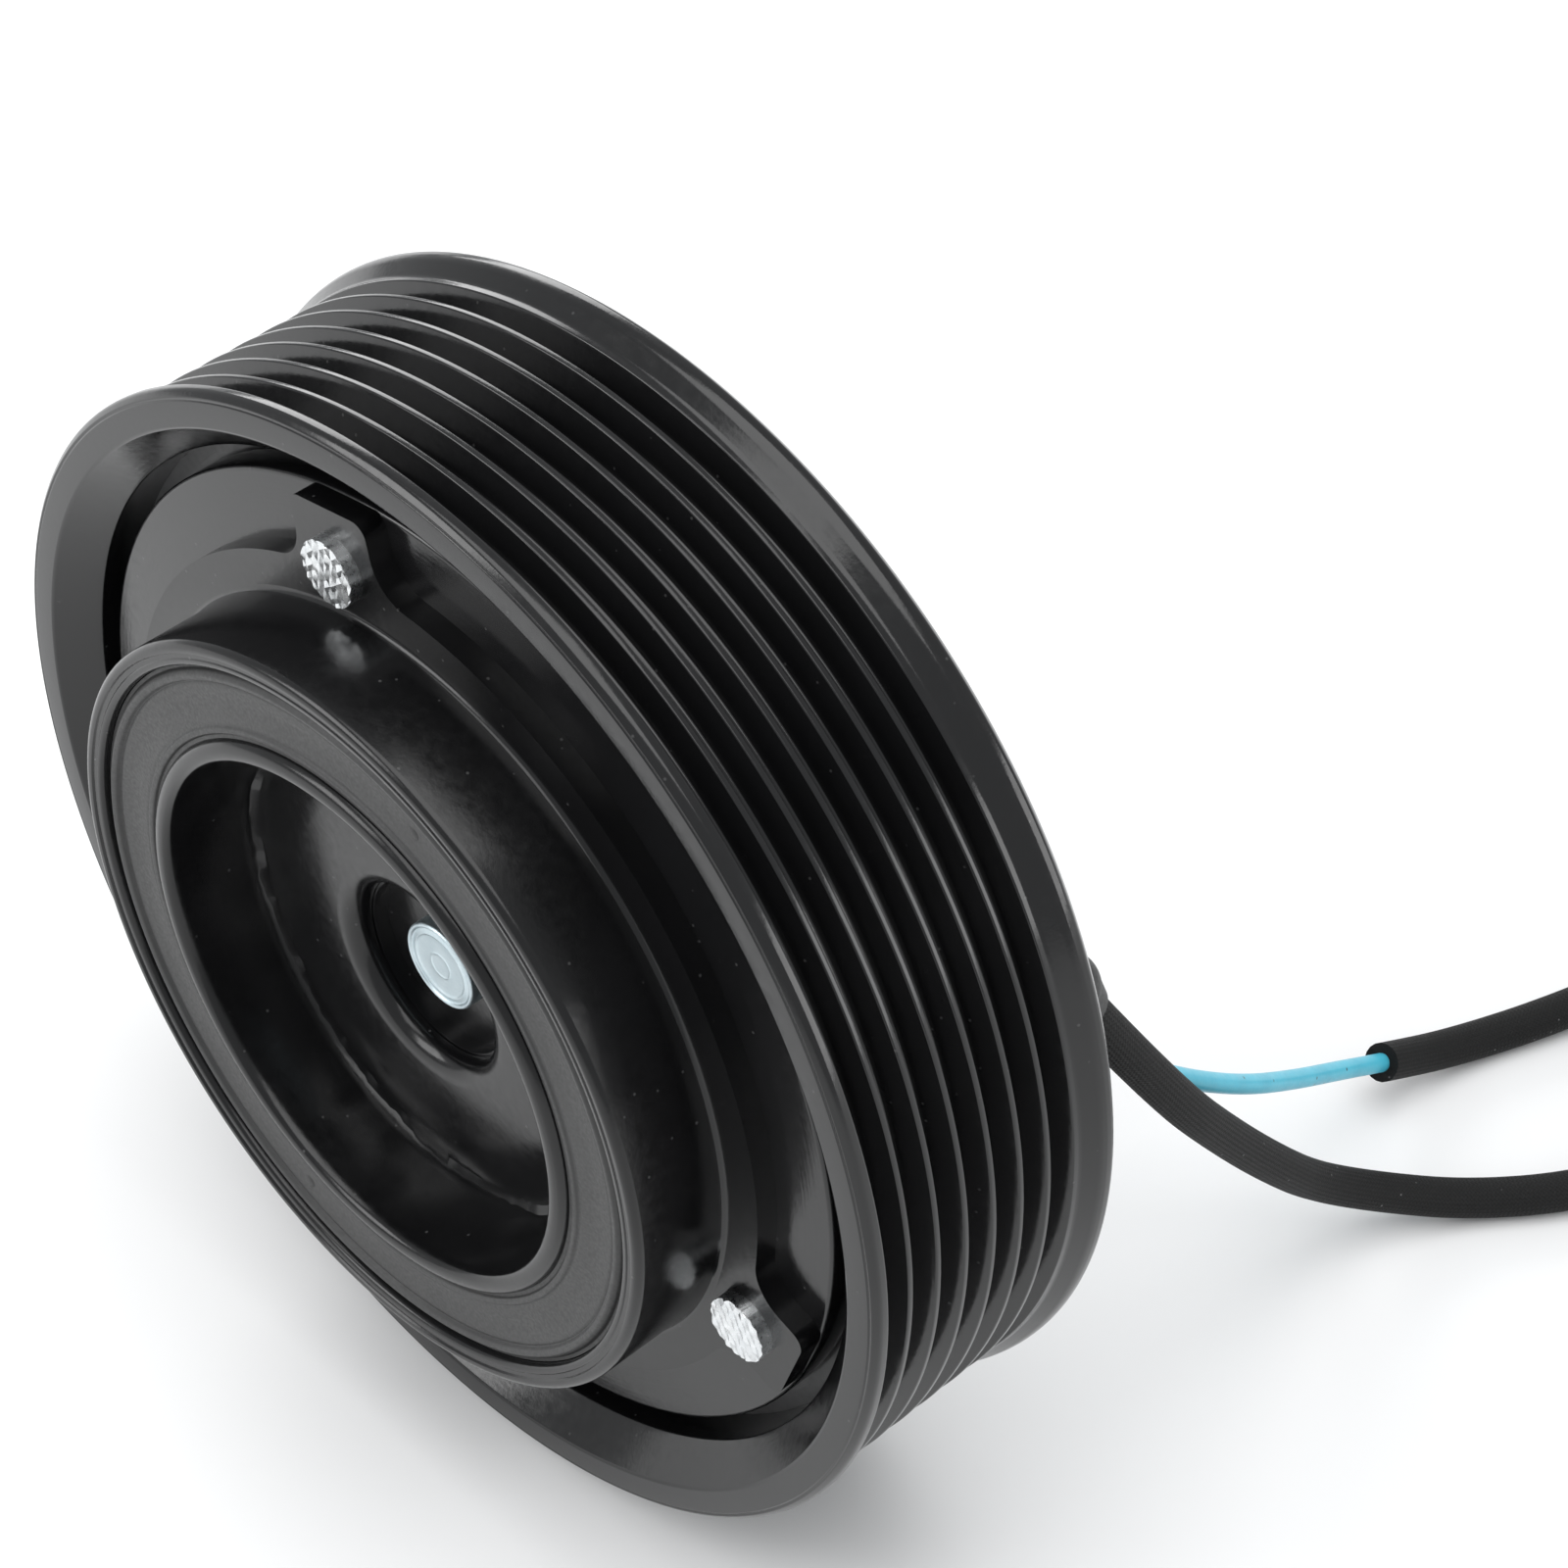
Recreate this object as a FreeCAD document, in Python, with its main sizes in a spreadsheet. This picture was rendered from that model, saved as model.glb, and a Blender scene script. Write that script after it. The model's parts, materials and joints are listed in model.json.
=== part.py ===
"""Electromagnetic clutch for a belt-driven air-conditioning compressor.

The clutch turns about the Y axis. Its front (hub side) faces -Y and its back (coil side) faces +Y.
The origin is the centre of the pulley bearing's bore, where the clutch sits on the compressor's nose.
Radii are distances from the Y axis, stations are Y coordinates. Millimetres and degrees throughout.
"""
import FreeCAD, Part
import math
import os
import re
import Sketcher

doc = FreeCAD.newDocument("clutch")

# ---------------------------------------------------------------- driving dimensions
DIMENSIONS = {
    # middle point of a rounded corner, as a share of its radius from either side
    "round_share": 0.29,
    # pulley rim: poly-V belt track, seven grooves
    "rim_front": -21.5,
    "rim_back": 9.6,
    "rim_bore": 55.2,
    "rim_face_inner": 58.7,
    "front_lip": 62.4,
    "rear_lip": 62.9,
    "belt_crest": 61.6,
    "groove_root": 58.8,
    "groove_pitch": 3.56,
    "groove_count": 7,
    "groove_first": -18.07,
    "groove_mouth": 3.0,
    "groove_floor": 0.96,
    "lip_rounding": 0.9,
    "rear_ramp_start": 5.6,
    "rear_ramp_end": 7.4,
    # rotor: steel channel that carries the rim, with the friction face at its front
    "rotor_face": -13.08,
    "rotor_disc": 5.6,
    "rotor_inner_wall": 51.2,
    "rotor_skirt_back": 8.6,
    "rotor_hub": 30.4,
    "rotor_hub_back": 11.0,
    "rotor_shoulder": 24.0,
    "slot_outer_low": 46.2,
    "slot_outer_high": 48.4,
    "slot_inner_low": 35.0,
    "slot_inner_high": 37.0,
    "rotor_slots": 6,
    "slot_span": 46,
    # double-row ball bearing 35 x 52 x 20
    "bearing_bore": 17.5,
    "bearing_outside": 26.0,
    "bearing_half": 10.0,
    "inner_ring_outside": 20.2,
    "outer_ring_bore": 23.2,
    "ball_pitch_radius": 21.7,
    "ball_radius": 2.38,
    "race_radius": 2.42,
    "ball_row": 4.6,
    "balls_per_row": 20,
    "ring_chamfer": 0.6,
    "cage_low": 20.6,
    "cage_high": 22.8,
    "cage_half": 2.75,
    "pocket_radius": 2.46,
    "seal_bore": 20.4,
    "seal_back": 9.4,
    "seal_thickness": 0.8,
    # snap rings
    "ring_thickness": 1.5,
    "circlip_bore": 24.5,
    "circlip_groove": 27.3,
    "circlip_play": 0.05,
    "nose_ring_bore": 16.6,
    "nose_ring_outside": 19.9,
    "plate_ring_bore": 19.8,
    "plate_ring_outside": 23.4,
    # field coil
    "coil_front": -5.9,
    "coil_back": 11.6,
    "coil_inside": 31.2,
    "coil_outside": 50.4,
    "coil_wall": 2.6,
    "coil_floor": 3.0,
    "potting_depth": 1.3,
    "bobbin_wall": 1.2,
    "fit_gap": 0.1,
    "winding_outside": 46.6,
    "plate_bore": 20.5,
    "plate_outside": 38.5,
    "plate_thickness": 2.0,
    "locating_hole": 2.5,
    "locating_radius": 34.0,
    # armature plate and its riveted collar
    "flange_front": -20.1,
    "flange_thickness": 2.5,
    "armature_thickness": 4.0,
    "armature_bore": 33.0,
    "armature_outside": 52.9,
    "armature_slot_low": 41.2,
    "armature_slot_high": 42.8,
    "armature_slot_span": 84,
    "collar_front": -30.8,
    "collar_inside": 38.6,
    "collar_outside": 41.2,
    "collar_fillet": 1.5,
    "collar_edge": 0.4,
    "collar_rounding": 1.0,
    "flange_outside": 45.6,
    "ear_tip": 52.7,
    "ear_width": 11.2,
    "ear_corner": 1.6,
    "ear_blend": 4.5,
    "rivet_circle": 46.4,
    "rivet_shank": 2.6,
    "rivet_head": 3.5,
    "rivet_head_height": 1.6,
    "rivet_first": -18.25,
    "rivet_count": 3,
    # hub: pressed cup, splined boss, bolt and shims
    "cup_outside": 30.6,
    "cup_mouth": 28.2,
    "cup_floor_radius": 27.5,
    "cup_floor_edge": -20.4,
    "cup_floor_middle": -22.0,
    "cup_flat": 14.5,
    "cup_hole": 10.0,
    "cup_metal": 2.5,
    "cup_lip": 0.9,
    "boss_seat": -17.8,
    "boss_web": 2.0,
    "boss_flange": 14.0,
    "boss_flange_back": -16.6,
    "boss_barrel": 9.6,
    "boss_back": -10.6,
    "bolt_hole": 3.2,
    "spline_minor": 6.9,
    "spline_major": 7.6,
    "spline_teeth": 24,
    "spline_gap": 0.95,
    "shim_outside": 6.5,
    "shim_thick": 0.5,
    "shim_thin": 0.3,
    "bolt_head": 4.85,
    "bolt_front": -19.5,
    "bolt_rim": 0.45,
    "bolt_shank": 2.95,
    "bolt_end": -10.4,
    # rubber damper
    "rubber_inside": 30.6,
    "rubber_outside": 38.5,
    "rubber_front": -30.0,
    "rubber_back": -22.4,
    "rubber_bead": 0.45,
    "rubber_dish": 0.4,
    # leads: insulated wire, woven sleeve, rubber boots and one-way connectors
    "floor_level": -62.9,
    "wire_radius": 1.1,
    "sleeve_radius": 2.25,
    "sleeve_bore": 1.15,
    "grommet_x": 43.4,
    "grommet_z": 6.6,
    "grommet_half_long": 5.6,
    "grommet_half_wide": 2.7,
    "grommet_pad": 4.6,
    "grommet_overlap": 0.9,
    "boot_wall": 0.9,
    "boot_flare": 0.4,
    "sleeve_ease": 0.5,
    "wire_ease": 0.7,
    "boot_tip": 4.0,
    "sleeve_end_gap": 5.0,
    "connector_length": 17.0,
    "connector_width": 8.6,
    "connector_height": 6.4,
    "connector_wall": 1.3,
    "connector_back": 6.0,
    "connector_rounding": 1.1,
    "latch_width": 3.0,
    "latch_height": 1.2,
    "latch_rise": 0.4,
    "latch_short": 5.0,
    "terminal_seat": 2.0,
    "terminal_recess": 2.5,
    "terminal_width": 4.6,
    "terminal_thickness": 0.8,
}

sheet = doc.addObject("Spreadsheet::Sheet", "Size")
for row, (alias, value) in enumerate(DIMENSIONS.items(), start=1):
    sheet.set(f"A{row}", alias)
    sheet.set(f"B{row}", str(value))
    sheet.setAlias(f"B{row}", alias)
doc.recompute()

ALIAS = re.compile(r"\b(" + "|".join(sorted(DIMENSIONS, key=len, reverse=True)) + r")\b")
FACE_BACK = FreeCAD.Rotation(FreeCAD.Vector(1, 0, 0), -90)
AXIS_Y = FreeCAD.Vector(0, 1, 0)
AXIS_Z = FreeCAD.Vector(0, 0, 1)
nodes = []


def size_of(formula):
    """The formula as an expression that names the sheet's cells."""
    return ALIAS.sub(r"Size.\1", str(formula))


def value_of(formula):
    """The formula's present value as a number."""
    return float(sheet.evalExpression(size_of(formula)))


def bind(thing, **formulas):
    for name, formula in formulas.items():
        thing.setExpression(name.replace("__", "."), size_of(formula))
    return thing


def node(thing, label):
    """Declare a finished piece: its label names its file."""
    thing.Label = label
    nodes.append(thing)
    return thing


def polar(radius, angle, station):
    """A point at a radius and an angle, counted from +X towards +Z."""
    turn = math.radians(angle)
    return FreeCAD.Vector(radius * math.cos(turn), station, radius * math.sin(turn))


# ---------------------------------------------------------------- building blocks
def disc(name, radius, front, back, span=360, start=0):
    """A round disc or sector about the Y axis. A sector starts at an angle from +X towards +Z."""
    piece = doc.addObject("Part::Cylinder", name)
    # once it lies along Y, the cylinder's own angle runs from +X towards -Z
    turn = FreeCAD.Rotation(AXIS_Y, -float(start) - float(span))
    piece.Placement = FreeCAD.Placement(FreeCAD.Vector(), turn.multiply(FACE_BACK))
    bind(piece, Radius=radius, Height=f"({back}) - ({front})", Placement__Base__y=front)
    piece.Angle = span
    return piece


def cut(name, base, tool):
    piece = doc.addObject("Part::Cut", name)
    piece.Base = base
    piece.Tool = tool
    return piece


def fuse(name, parts):
    piece = doc.addObject("Part::MultiFuse", name)
    piece.Shapes = parts
    return piece


def group(name, parts):
    piece = doc.addObject("Part::Compound", name)
    piece.Links = parts
    return piece


def ring(name, inner, outer, front, back, span=360, start=0):
    whole = disc(name + "_disc", outer, front, back, span, start)
    hole = disc(name + "_hole", inner, f"({front}) - 1", f"({back}) + 1")
    return cut(name, whole, hole)


def peg(name, radius, front, back, centre):
    """A round bar along Y at a point (x, z)."""
    piece = disc(name, radius, front, back)
    piece.Placement.Base.x = centre[0]
    piece.Placement.Base.z = centre[1]
    bind(piece, Placement__Base__y=front)
    return piece


def origin_feature(body, role):
    return next(item for item in body.Origin.OriginFeatures if item.Role == role)


def profile(body, name, outline):
    """A closed sketch of straight lines. Each outline point is a radius and a station, as formulas."""
    sketch = body.newObject("Sketcher::SketchObject", name)
    sketch.AttachmentSupport = [(origin_feature(body, "XY_Plane"), "")]
    sketch.MapMode = "FlatFace"
    places = [FreeCAD.Vector(value_of(radius), value_of(station), 0) for radius, station in outline]
    for index, place in enumerate(places):
        sketch.addGeometry(Part.LineSegment(place, places[(index + 1) % len(places)]), False)
    for index, (radius, station) in enumerate(outline):
        sketch.addConstraint(Sketcher.Constraint("Coincident", index, 1, (index - 1) % len(places), 2))
        across = sketch.addConstraint(Sketcher.Constraint("DistanceX", -1, 1, index, 1, places[index].x))
        along = sketch.addConstraint(Sketcher.Constraint("DistanceY", -1, 1, index, 1, places[index].y))
        sketch.setExpression(f"Constraints[{across}]", size_of(radius))
        sketch.setExpression(f"Constraints[{along}]", size_of(station))
    return sketch


def turn_profile(body, kind, name, outline):
    """Turn a profile once round the Y axis, adding metal or removing it."""
    turned = body.newObject(kind, name)
    sketch = profile(body, name + "_profile", outline)
    turned.Profile = sketch
    turned.ReferenceAxis = (sketch, ["V_Axis"])
    turned.Angle = 360
    body.Tip = turned
    return turned


def lathe(name, outline):
    """A body of revolution about Y."""
    body = doc.addObject("PartDesign::Body", name)
    turn_profile(body, "PartDesign::Revolution", name + "_turned", outline)
    return body


# ---------------------------------------------------------------- pulley rim
def make_pulley_rim():
    body = lathe("rim_body", [
        ("rim_bore", "rim_front + (rim_face_inner - rim_bore)"),
        ("rim_face_inner", "rim_front"),
        ("front_lip - lip_rounding", "rim_front"),
        ("front_lip - lip_rounding * round_share", "rim_front + lip_rounding * round_share"),
        ("front_lip", "rim_front + lip_rounding"),
        ("front_lip", "groove_first"),
        ("belt_crest", "groove_first"),
        ("belt_crest", "rear_ramp_start"),
        ("rear_lip", "rear_ramp_end"),
        ("rear_lip", "rim_back - lip_rounding"),
        ("rear_lip - lip_rounding * round_share", "rim_back - lip_rounding * round_share"),
        ("rear_lip - lip_rounding", "rim_back"),
        ("rim_bore + ring_chamfer", "rim_back"),
        ("rim_bore", "rim_back - ring_chamfer"),
    ])
    doc.recompute()
    blank_volume = body.Shape.Volume
    # the V carries on outwards past the lips at the same flank slope
    flank = "(groove_mouth - groove_floor) / 2 / (belt_crest - groove_root)"
    groove = turn_profile(body, "PartDesign::Groove", "belt_groove", [
        ("groove_root", "groove_first - groove_floor / 2"),
        ("rear_lip + 1", f"groove_first - groove_floor / 2 - (rear_lip + 1 - groove_root) * {flank}"),
        ("rear_lip + 1", f"groove_first + groove_floor / 2 + (rear_lip + 1 - groove_root) * {flank}"),
        ("groove_root", "groove_first + groove_floor / 2"),
    ])
    doc.recompute()
    row = body.newObject("PartDesign::LinearPattern", "belt_grooves")
    row.Originals = [groove]
    row.Direction = (origin_feature(body, "Y_Axis"), [""])
    bind(row, Length="groove_pitch * (groove_count - 1)", Occurrences="groove_count")
    body.Tip = row
    doc.recompute()
    assert body.Shape.Volume < 0.9 * blank_volume, "the belt grooves must remove metal"
    node(body, "pulley_rim")


# ---------------------------------------------------------------- rotor
def make_rotor():
    channel = lathe("rotor_channel", [
        ("bearing_outside", "rotor_face"),
        ("bearing_outside", "-bearing_half - ring_thickness - circlip_play"),
        ("circlip_groove", "-bearing_half - ring_thickness - circlip_play"),
        ("circlip_groove", "-bearing_half"),
        ("bearing_outside", "-bearing_half"),
        ("bearing_outside", "bearing_half"),
        ("rotor_shoulder", "bearing_half"),
        ("rotor_shoulder", "rotor_hub_back"),
        ("rotor_hub", "rotor_hub_back"),
        ("rotor_hub", "rotor_face + rotor_disc"),
        ("rotor_inner_wall", "rotor_face + rotor_disc"),
        ("rotor_inner_wall", "rotor_skirt_back"),
        ("rim_bore", "rotor_skirt_back"),
        ("rim_bore", "rotor_face"),
    ])
    windows = []
    count = int(value_of("rotor_slots"))
    span = value_of("slot_span")
    for index in range(count):
        start = index * 360 / count
        for row_name, low, high, shift in (
            ("outer", "slot_outer_low", "slot_outer_high", 0),
            ("inner", "slot_inner_low", "slot_inner_high", 180 / count),
        ):
            windows.append(ring(
                f"rotor_slot_{row_name}_{index}", low, high,
                "rotor_face - 1", "rotor_face + rotor_disc + 1", span, start + shift,
            ))
    node(cut("rotor_slotted", channel, fuse("rotor_slots_all", windows)), "rotor")


# ---------------------------------------------------------------- bearing
def race(name, row):
    piece = doc.addObject("Part::Torus", name)
    piece.Placement = FreeCAD.Placement(FreeCAD.Vector(), FACE_BACK)
    station = f"{row} * ball_row"
    return bind(piece, Radius1="ball_pitch_radius", Radius2="race_radius", Placement__Base__y=station)


def cage_pocket(name, angle, station):
    """A round hole straight out through the cage, which one ball sits in."""
    base = polar(value_of("cage_low") - 1, angle, station)
    pocket = doc.addObject("Part::Cylinder", name)
    pocket.Placement = FreeCAD.Placement(base, FreeCAD.Rotation(AXIS_Z, polar(1, angle, 0)))
    return bind(pocket, Radius="pocket_radius", Height="cage_high - cage_low + 2")


def make_bearing():
    inner = lathe("inner_ring_blank", [
        ("bearing_bore", "-bearing_half + ring_chamfer"),
        ("bearing_bore + ring_chamfer", "-bearing_half"),
        ("inner_ring_outside", "-bearing_half"),
        ("inner_ring_outside", "bearing_half"),
        ("bearing_bore + ring_chamfer", "bearing_half"),
        ("bearing_bore", "bearing_half - ring_chamfer"),
    ])
    inner_races = [race("inner_race_front", -1), race("inner_race_rear", 1)]
    node(cut("inner_ring", inner, fuse("inner_races", inner_races)),
         "bearing_inner_ring")
    outer = lathe("outer_ring_blank", [
        ("outer_ring_bore", "-bearing_half"),
        ("bearing_outside - ring_chamfer", "-bearing_half"),
        ("bearing_outside", "-bearing_half + ring_chamfer"),
        ("bearing_outside", "bearing_half - ring_chamfer"),
        ("bearing_outside - ring_chamfer", "bearing_half"),
        ("outer_ring_bore", "bearing_half"),
    ])
    outer_races = [race("outer_race_front", -1), race("outer_race_rear", 1)]
    node(cut("outer_ring", outer, fuse("outer_races", outer_races)),
         "bearing_outer_ring")
    count = int(value_of("balls_per_row"))
    balls = []
    for row, side in ((-1, "front"), (1, "rear")):
        pockets = []
        for index in range(count):
            angle = index * 360 / count
            ball = doc.addObject("Part::Sphere", f"ball_{side}_{index}")
            ball.Placement.Base = polar(value_of("ball_pitch_radius"), angle, row * value_of("ball_row"))
            balls.append(bind(ball, Radius="ball_radius"))
            pockets.append(cage_pocket(f"pocket_{side}_{index}", angle, row * value_of("ball_row")))
        blank = ring(f"cage_{side}_blank", "cage_low", "cage_high",
                     f"{row} * ball_row - cage_half", f"{row} * ball_row + cage_half")
        node(cut(f"cage_{side}", blank, fuse(f"pockets_{side}", pockets)), f"bearing_cage_{side}")
    node(group("balls", balls), "bearing_balls")
    node(ring("seal_front", "seal_bore", "outer_ring_bore", "-seal_back", "-seal_back + seal_thickness"),
         "bearing_seal_front")
    node(ring("seal_rear", "seal_bore", "outer_ring_bore", "seal_back - seal_thickness", "seal_back"),
         "bearing_seal_rear")


# ---------------------------------------------------------------- snap rings
def snap_ring(label, inner, outer, front, back, opening, hole_radius, hole_angle):
    """An open spring ring with a plier hole beside each end of its gap, which is at the top."""
    arc = ring(label + "_arc", inner, outer, front, back, 360 - opening, 90 + opening / 2)
    middle = (value_of(inner) + value_of(outer)) / 2
    holes = []
    for side in (-1, 1):
        place = polar(middle, 90 + side * (opening / 2 + hole_angle), 0)
        centre = (place.x, place.z)
        holes.append(peg(f"{label}_eye_{side + 1}", hole_radius, f"{front} - 1", f"{back} + 1", centre))
    node(cut(label + "_ring", arc, fuse(label + "_eyes", holes)), label)


def make_snap_rings():
    snap_ring("bearing_retaining_ring", "circlip_bore", "circlip_groove - fit_gap",
              "-bearing_half - ring_thickness", "-bearing_half", 24, 0.75, 5)
    snap_ring("pulley_snap_ring", "nose_ring_bore", "nose_ring_outside",
              "-bearing_half - ring_thickness", "-bearing_half", 40, 0.9, 7)
    snap_ring("coil_snap_ring", "plate_ring_bore", "plate_ring_outside",
              "coil_back - ring_thickness", "coil_back", 40, 0.9, 6)


# ---------------------------------------------------------------- field coil
def oval(name, front, back, extra=0):
    """A long round-ended block along Y at the lead outlet, its long way upright."""
    x = value_of("grommet_x")
    z = value_of("grommet_z")
    wide = value_of("grommet_half_wide") + extra
    reach = value_of("grommet_half_long") - value_of("grommet_half_wide")
    ends = [
        peg(f"{name}_low", f"grommet_half_wide + {extra}", front, back, (x, z - reach)),
        peg(f"{name}_high", f"grommet_half_wide + {extra}", front, back, (x, z + reach)),
    ]
    block = doc.addObject("Part::Box", f"{name}_middle")
    block.Placement.Base = FreeCAD.Vector(x - wide, value_of(front), z - reach)
    bind(block, Length=f"2 * (grommet_half_wide + {extra})", Width=f"({back}) - ({front})",
         Height="2 * (grommet_half_long - grommet_half_wide)", Placement__Base__y=front)
    return fuse(name, ends + [block])


def make_coil():
    shell = lathe("coil_shell", [
        ("coil_inside", "coil_front"),
        ("coil_inside + coil_wall", "coil_front"),
        ("coil_inside + coil_wall", "coil_back - coil_floor"),
        ("coil_outside - coil_wall", "coil_back - coil_floor"),
        ("coil_outside - coil_wall", "coil_front"),
        ("coil_outside", "coil_front"),
        ("coil_outside", "coil_back - ring_chamfer"),
        ("coil_outside - ring_chamfer", "coil_back"),
        ("coil_inside", "coil_back"),
    ])
    outlet = oval("lead_outlet", "coil_back - coil_floor - 1", "coil_back + 1")
    node(cut("coil_shell_open", shell, outlet), "coil_housing")
    spool_in = "coil_inside + coil_wall + fit_gap"
    spool_out = "coil_outside - coil_wall - fit_gap"
    spool_front = "coil_front + potting_depth"
    spool_back = "coil_back - coil_floor - fit_gap"
    node(lathe("bobbin_body", [
        (spool_in, spool_front),
        (spool_out, spool_front),
        (spool_out, f"{spool_front} + bobbin_wall"),
        (f"{spool_in} + bobbin_wall", f"{spool_front} + bobbin_wall"),
        (f"{spool_in} + bobbin_wall", f"{spool_back} - bobbin_wall"),
        (spool_out, f"{spool_back} - bobbin_wall"),
        (spool_out, spool_back),
        (spool_in, spool_back),
    ]), "coil_bobbin")
    node(ring("winding", f"{spool_in} + bobbin_wall", "winding_outside",
              f"{spool_front} + bobbin_wall", f"{spool_back} - bobbin_wall"), "coil_winding")
    node(ring("resin", "coil_inside + coil_wall", "coil_outside - coil_wall",
              "coil_front + fit_gap", spool_front), "coil_potting")


def make_mounting_plate():
    plate = ring("plate_blank", "plate_bore", "plate_outside", "coil_back", "coil_back + plate_thickness")
    hole = peg("plate_hole", "locating_hole", "coil_back - 1", "coil_back + plate_thickness + 1",
               (0, value_of("locating_radius")))
    node(cut("plate_drilled", plate, hole), "coil_mounting_plate")


# ---------------------------------------------------------------- armature, collar and rivets
def rivet_places():
    count = int(value_of("rivet_count"))
    first = value_of("rivet_first")
    for index in range(count):
        yield index, first + index * 360 / count


def make_armature():
    front = "flange_front + flange_thickness"
    back = f"{front} + armature_thickness"
    blank = ring("armature_blank", "armature_bore", "armature_outside", front, back)
    span = value_of("armature_slot_span")
    cutters = []
    for index, angle in rivet_places():
        cutters.append(ring(f"armature_slot_{index}", "armature_slot_low", "armature_slot_high",
                            f"{front} - 1", f"{back} + 1", span, angle + 60 - span / 2))
        place = polar(value_of("rivet_circle"), angle, 0)
        cutters.append(peg(f"armature_hole_{index}", "rivet_shank", f"{front} - 1", f"{back} + 1",
                           (place.x, place.z)))
    node(cut("armature_cut", blank, fuse("armature_cutters", cutters)), "armature_plate")


def make_collar():
    back = "flange_front + flange_thickness"
    tube = lathe("collar_tube", [
        ("collar_inside", "collar_front + collar_edge"),
        ("collar_inside + collar_edge", "collar_front"),
        ("collar_outside - collar_rounding", "collar_front"),
        ("collar_outside - collar_rounding * round_share", "collar_front + collar_rounding * round_share"),
        ("collar_outside", "collar_front + collar_rounding"),
        ("collar_outside", "flange_front - collar_fillet"),
        ("collar_outside + collar_fillet * round_share", "flange_front - collar_fillet * round_share"),
        ("collar_outside + collar_fillet", "flange_front"),
        ("flange_outside - 1", "flange_front"),
        ("flange_outside - 1", back),
        ("collar_inside + 2", back),
        ("collar_inside", f"{back} - 2"),
    ])
    sheet_metal = [ring("flange_ring", "collar_inside + 2", "flange_outside", "flange_front", back)]
    cutters = []
    for index, angle in rivet_places():
        place = polar(value_of("rivet_circle"), angle, 0)
        tab = doc.addObject("Part::Box", f"ear_{index}")
        turn = FreeCAD.Rotation(AXIS_Y, -angle)
        start = FreeCAD.Vector(*[value_of(size) for size in ("collar_outside", "flange_front", "-ear_width / 2")])
        tab.Placement = FreeCAD.Placement(turn.multVec(start), turn)
        bind(tab, Length="ear_tip - collar_outside", Width="flange_thickness", Height="ear_width")
        sheet_metal.append(tab)
        cutters.append(peg(f"ear_hole_{index}", "rivet_shank", "flange_front - 1", f"{back} + 1",
                           (place.x, place.z)))
    bore = disc("flange_bore", "collar_inside + 2", "flange_front - 1", f"{back} + 1")
    flange = cut("flange_open", fuse("flange_eared", sheet_metal), bore)
    doc.recompute()
    blend = doc.addObject("Part::Fillet", "flange_blended")
    blend.Base = flange
    tip_reach = math.hypot(value_of("ear_tip"), value_of("ear_width") / 2)
    roundings = {value_of("flange_outside"): value_of("ear_blend"), tip_reach: value_of("ear_corner")}
    corners = []
    for number, edge in enumerate(flange.Shape.Edges, start=1):
        middle = edge.CenterOfMass
        upright = edge.Curve.TypeId == "Part::GeomLine" and len(edge.Vertexes) == 2
        for reach, radius in roundings.items():
            if upright and abs(math.hypot(middle.x, middle.z) - reach) < value_of("fit_gap"):
                corners.append((number, radius, radius))
    assert len(corners) == 4 * int(value_of("rivet_count")), "each ear has two root and two tip corners"
    blend.Edges = corners
    doc.recompute()
    whole = fuse("collar_whole", [tube, blend])
    node(cut("collar_drilled", whole, fuse("ear_holes", cutters)), "outer_collar")


def make_rivets():
    plate_back = "flange_front + flange_thickness + armature_thickness"
    rivets = []
    for index, angle in rivet_places():
        place = polar(value_of("rivet_circle"), angle, 0)
        centre = (place.x, place.z)
        shank = peg(f"rivet_shank_{index}", "rivet_shank", "flange_front", f"{plate_back} - 0.3", centre)
        head = peg(f"rivet_head_{index}", "rivet_head",
                   "flange_front - rivet_head_height", "flange_front", centre)
        rivets.append(fuse(f"rivet_{index}", [shank, head]))
    node(group("rivets", rivets), "collar_rivets")


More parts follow.
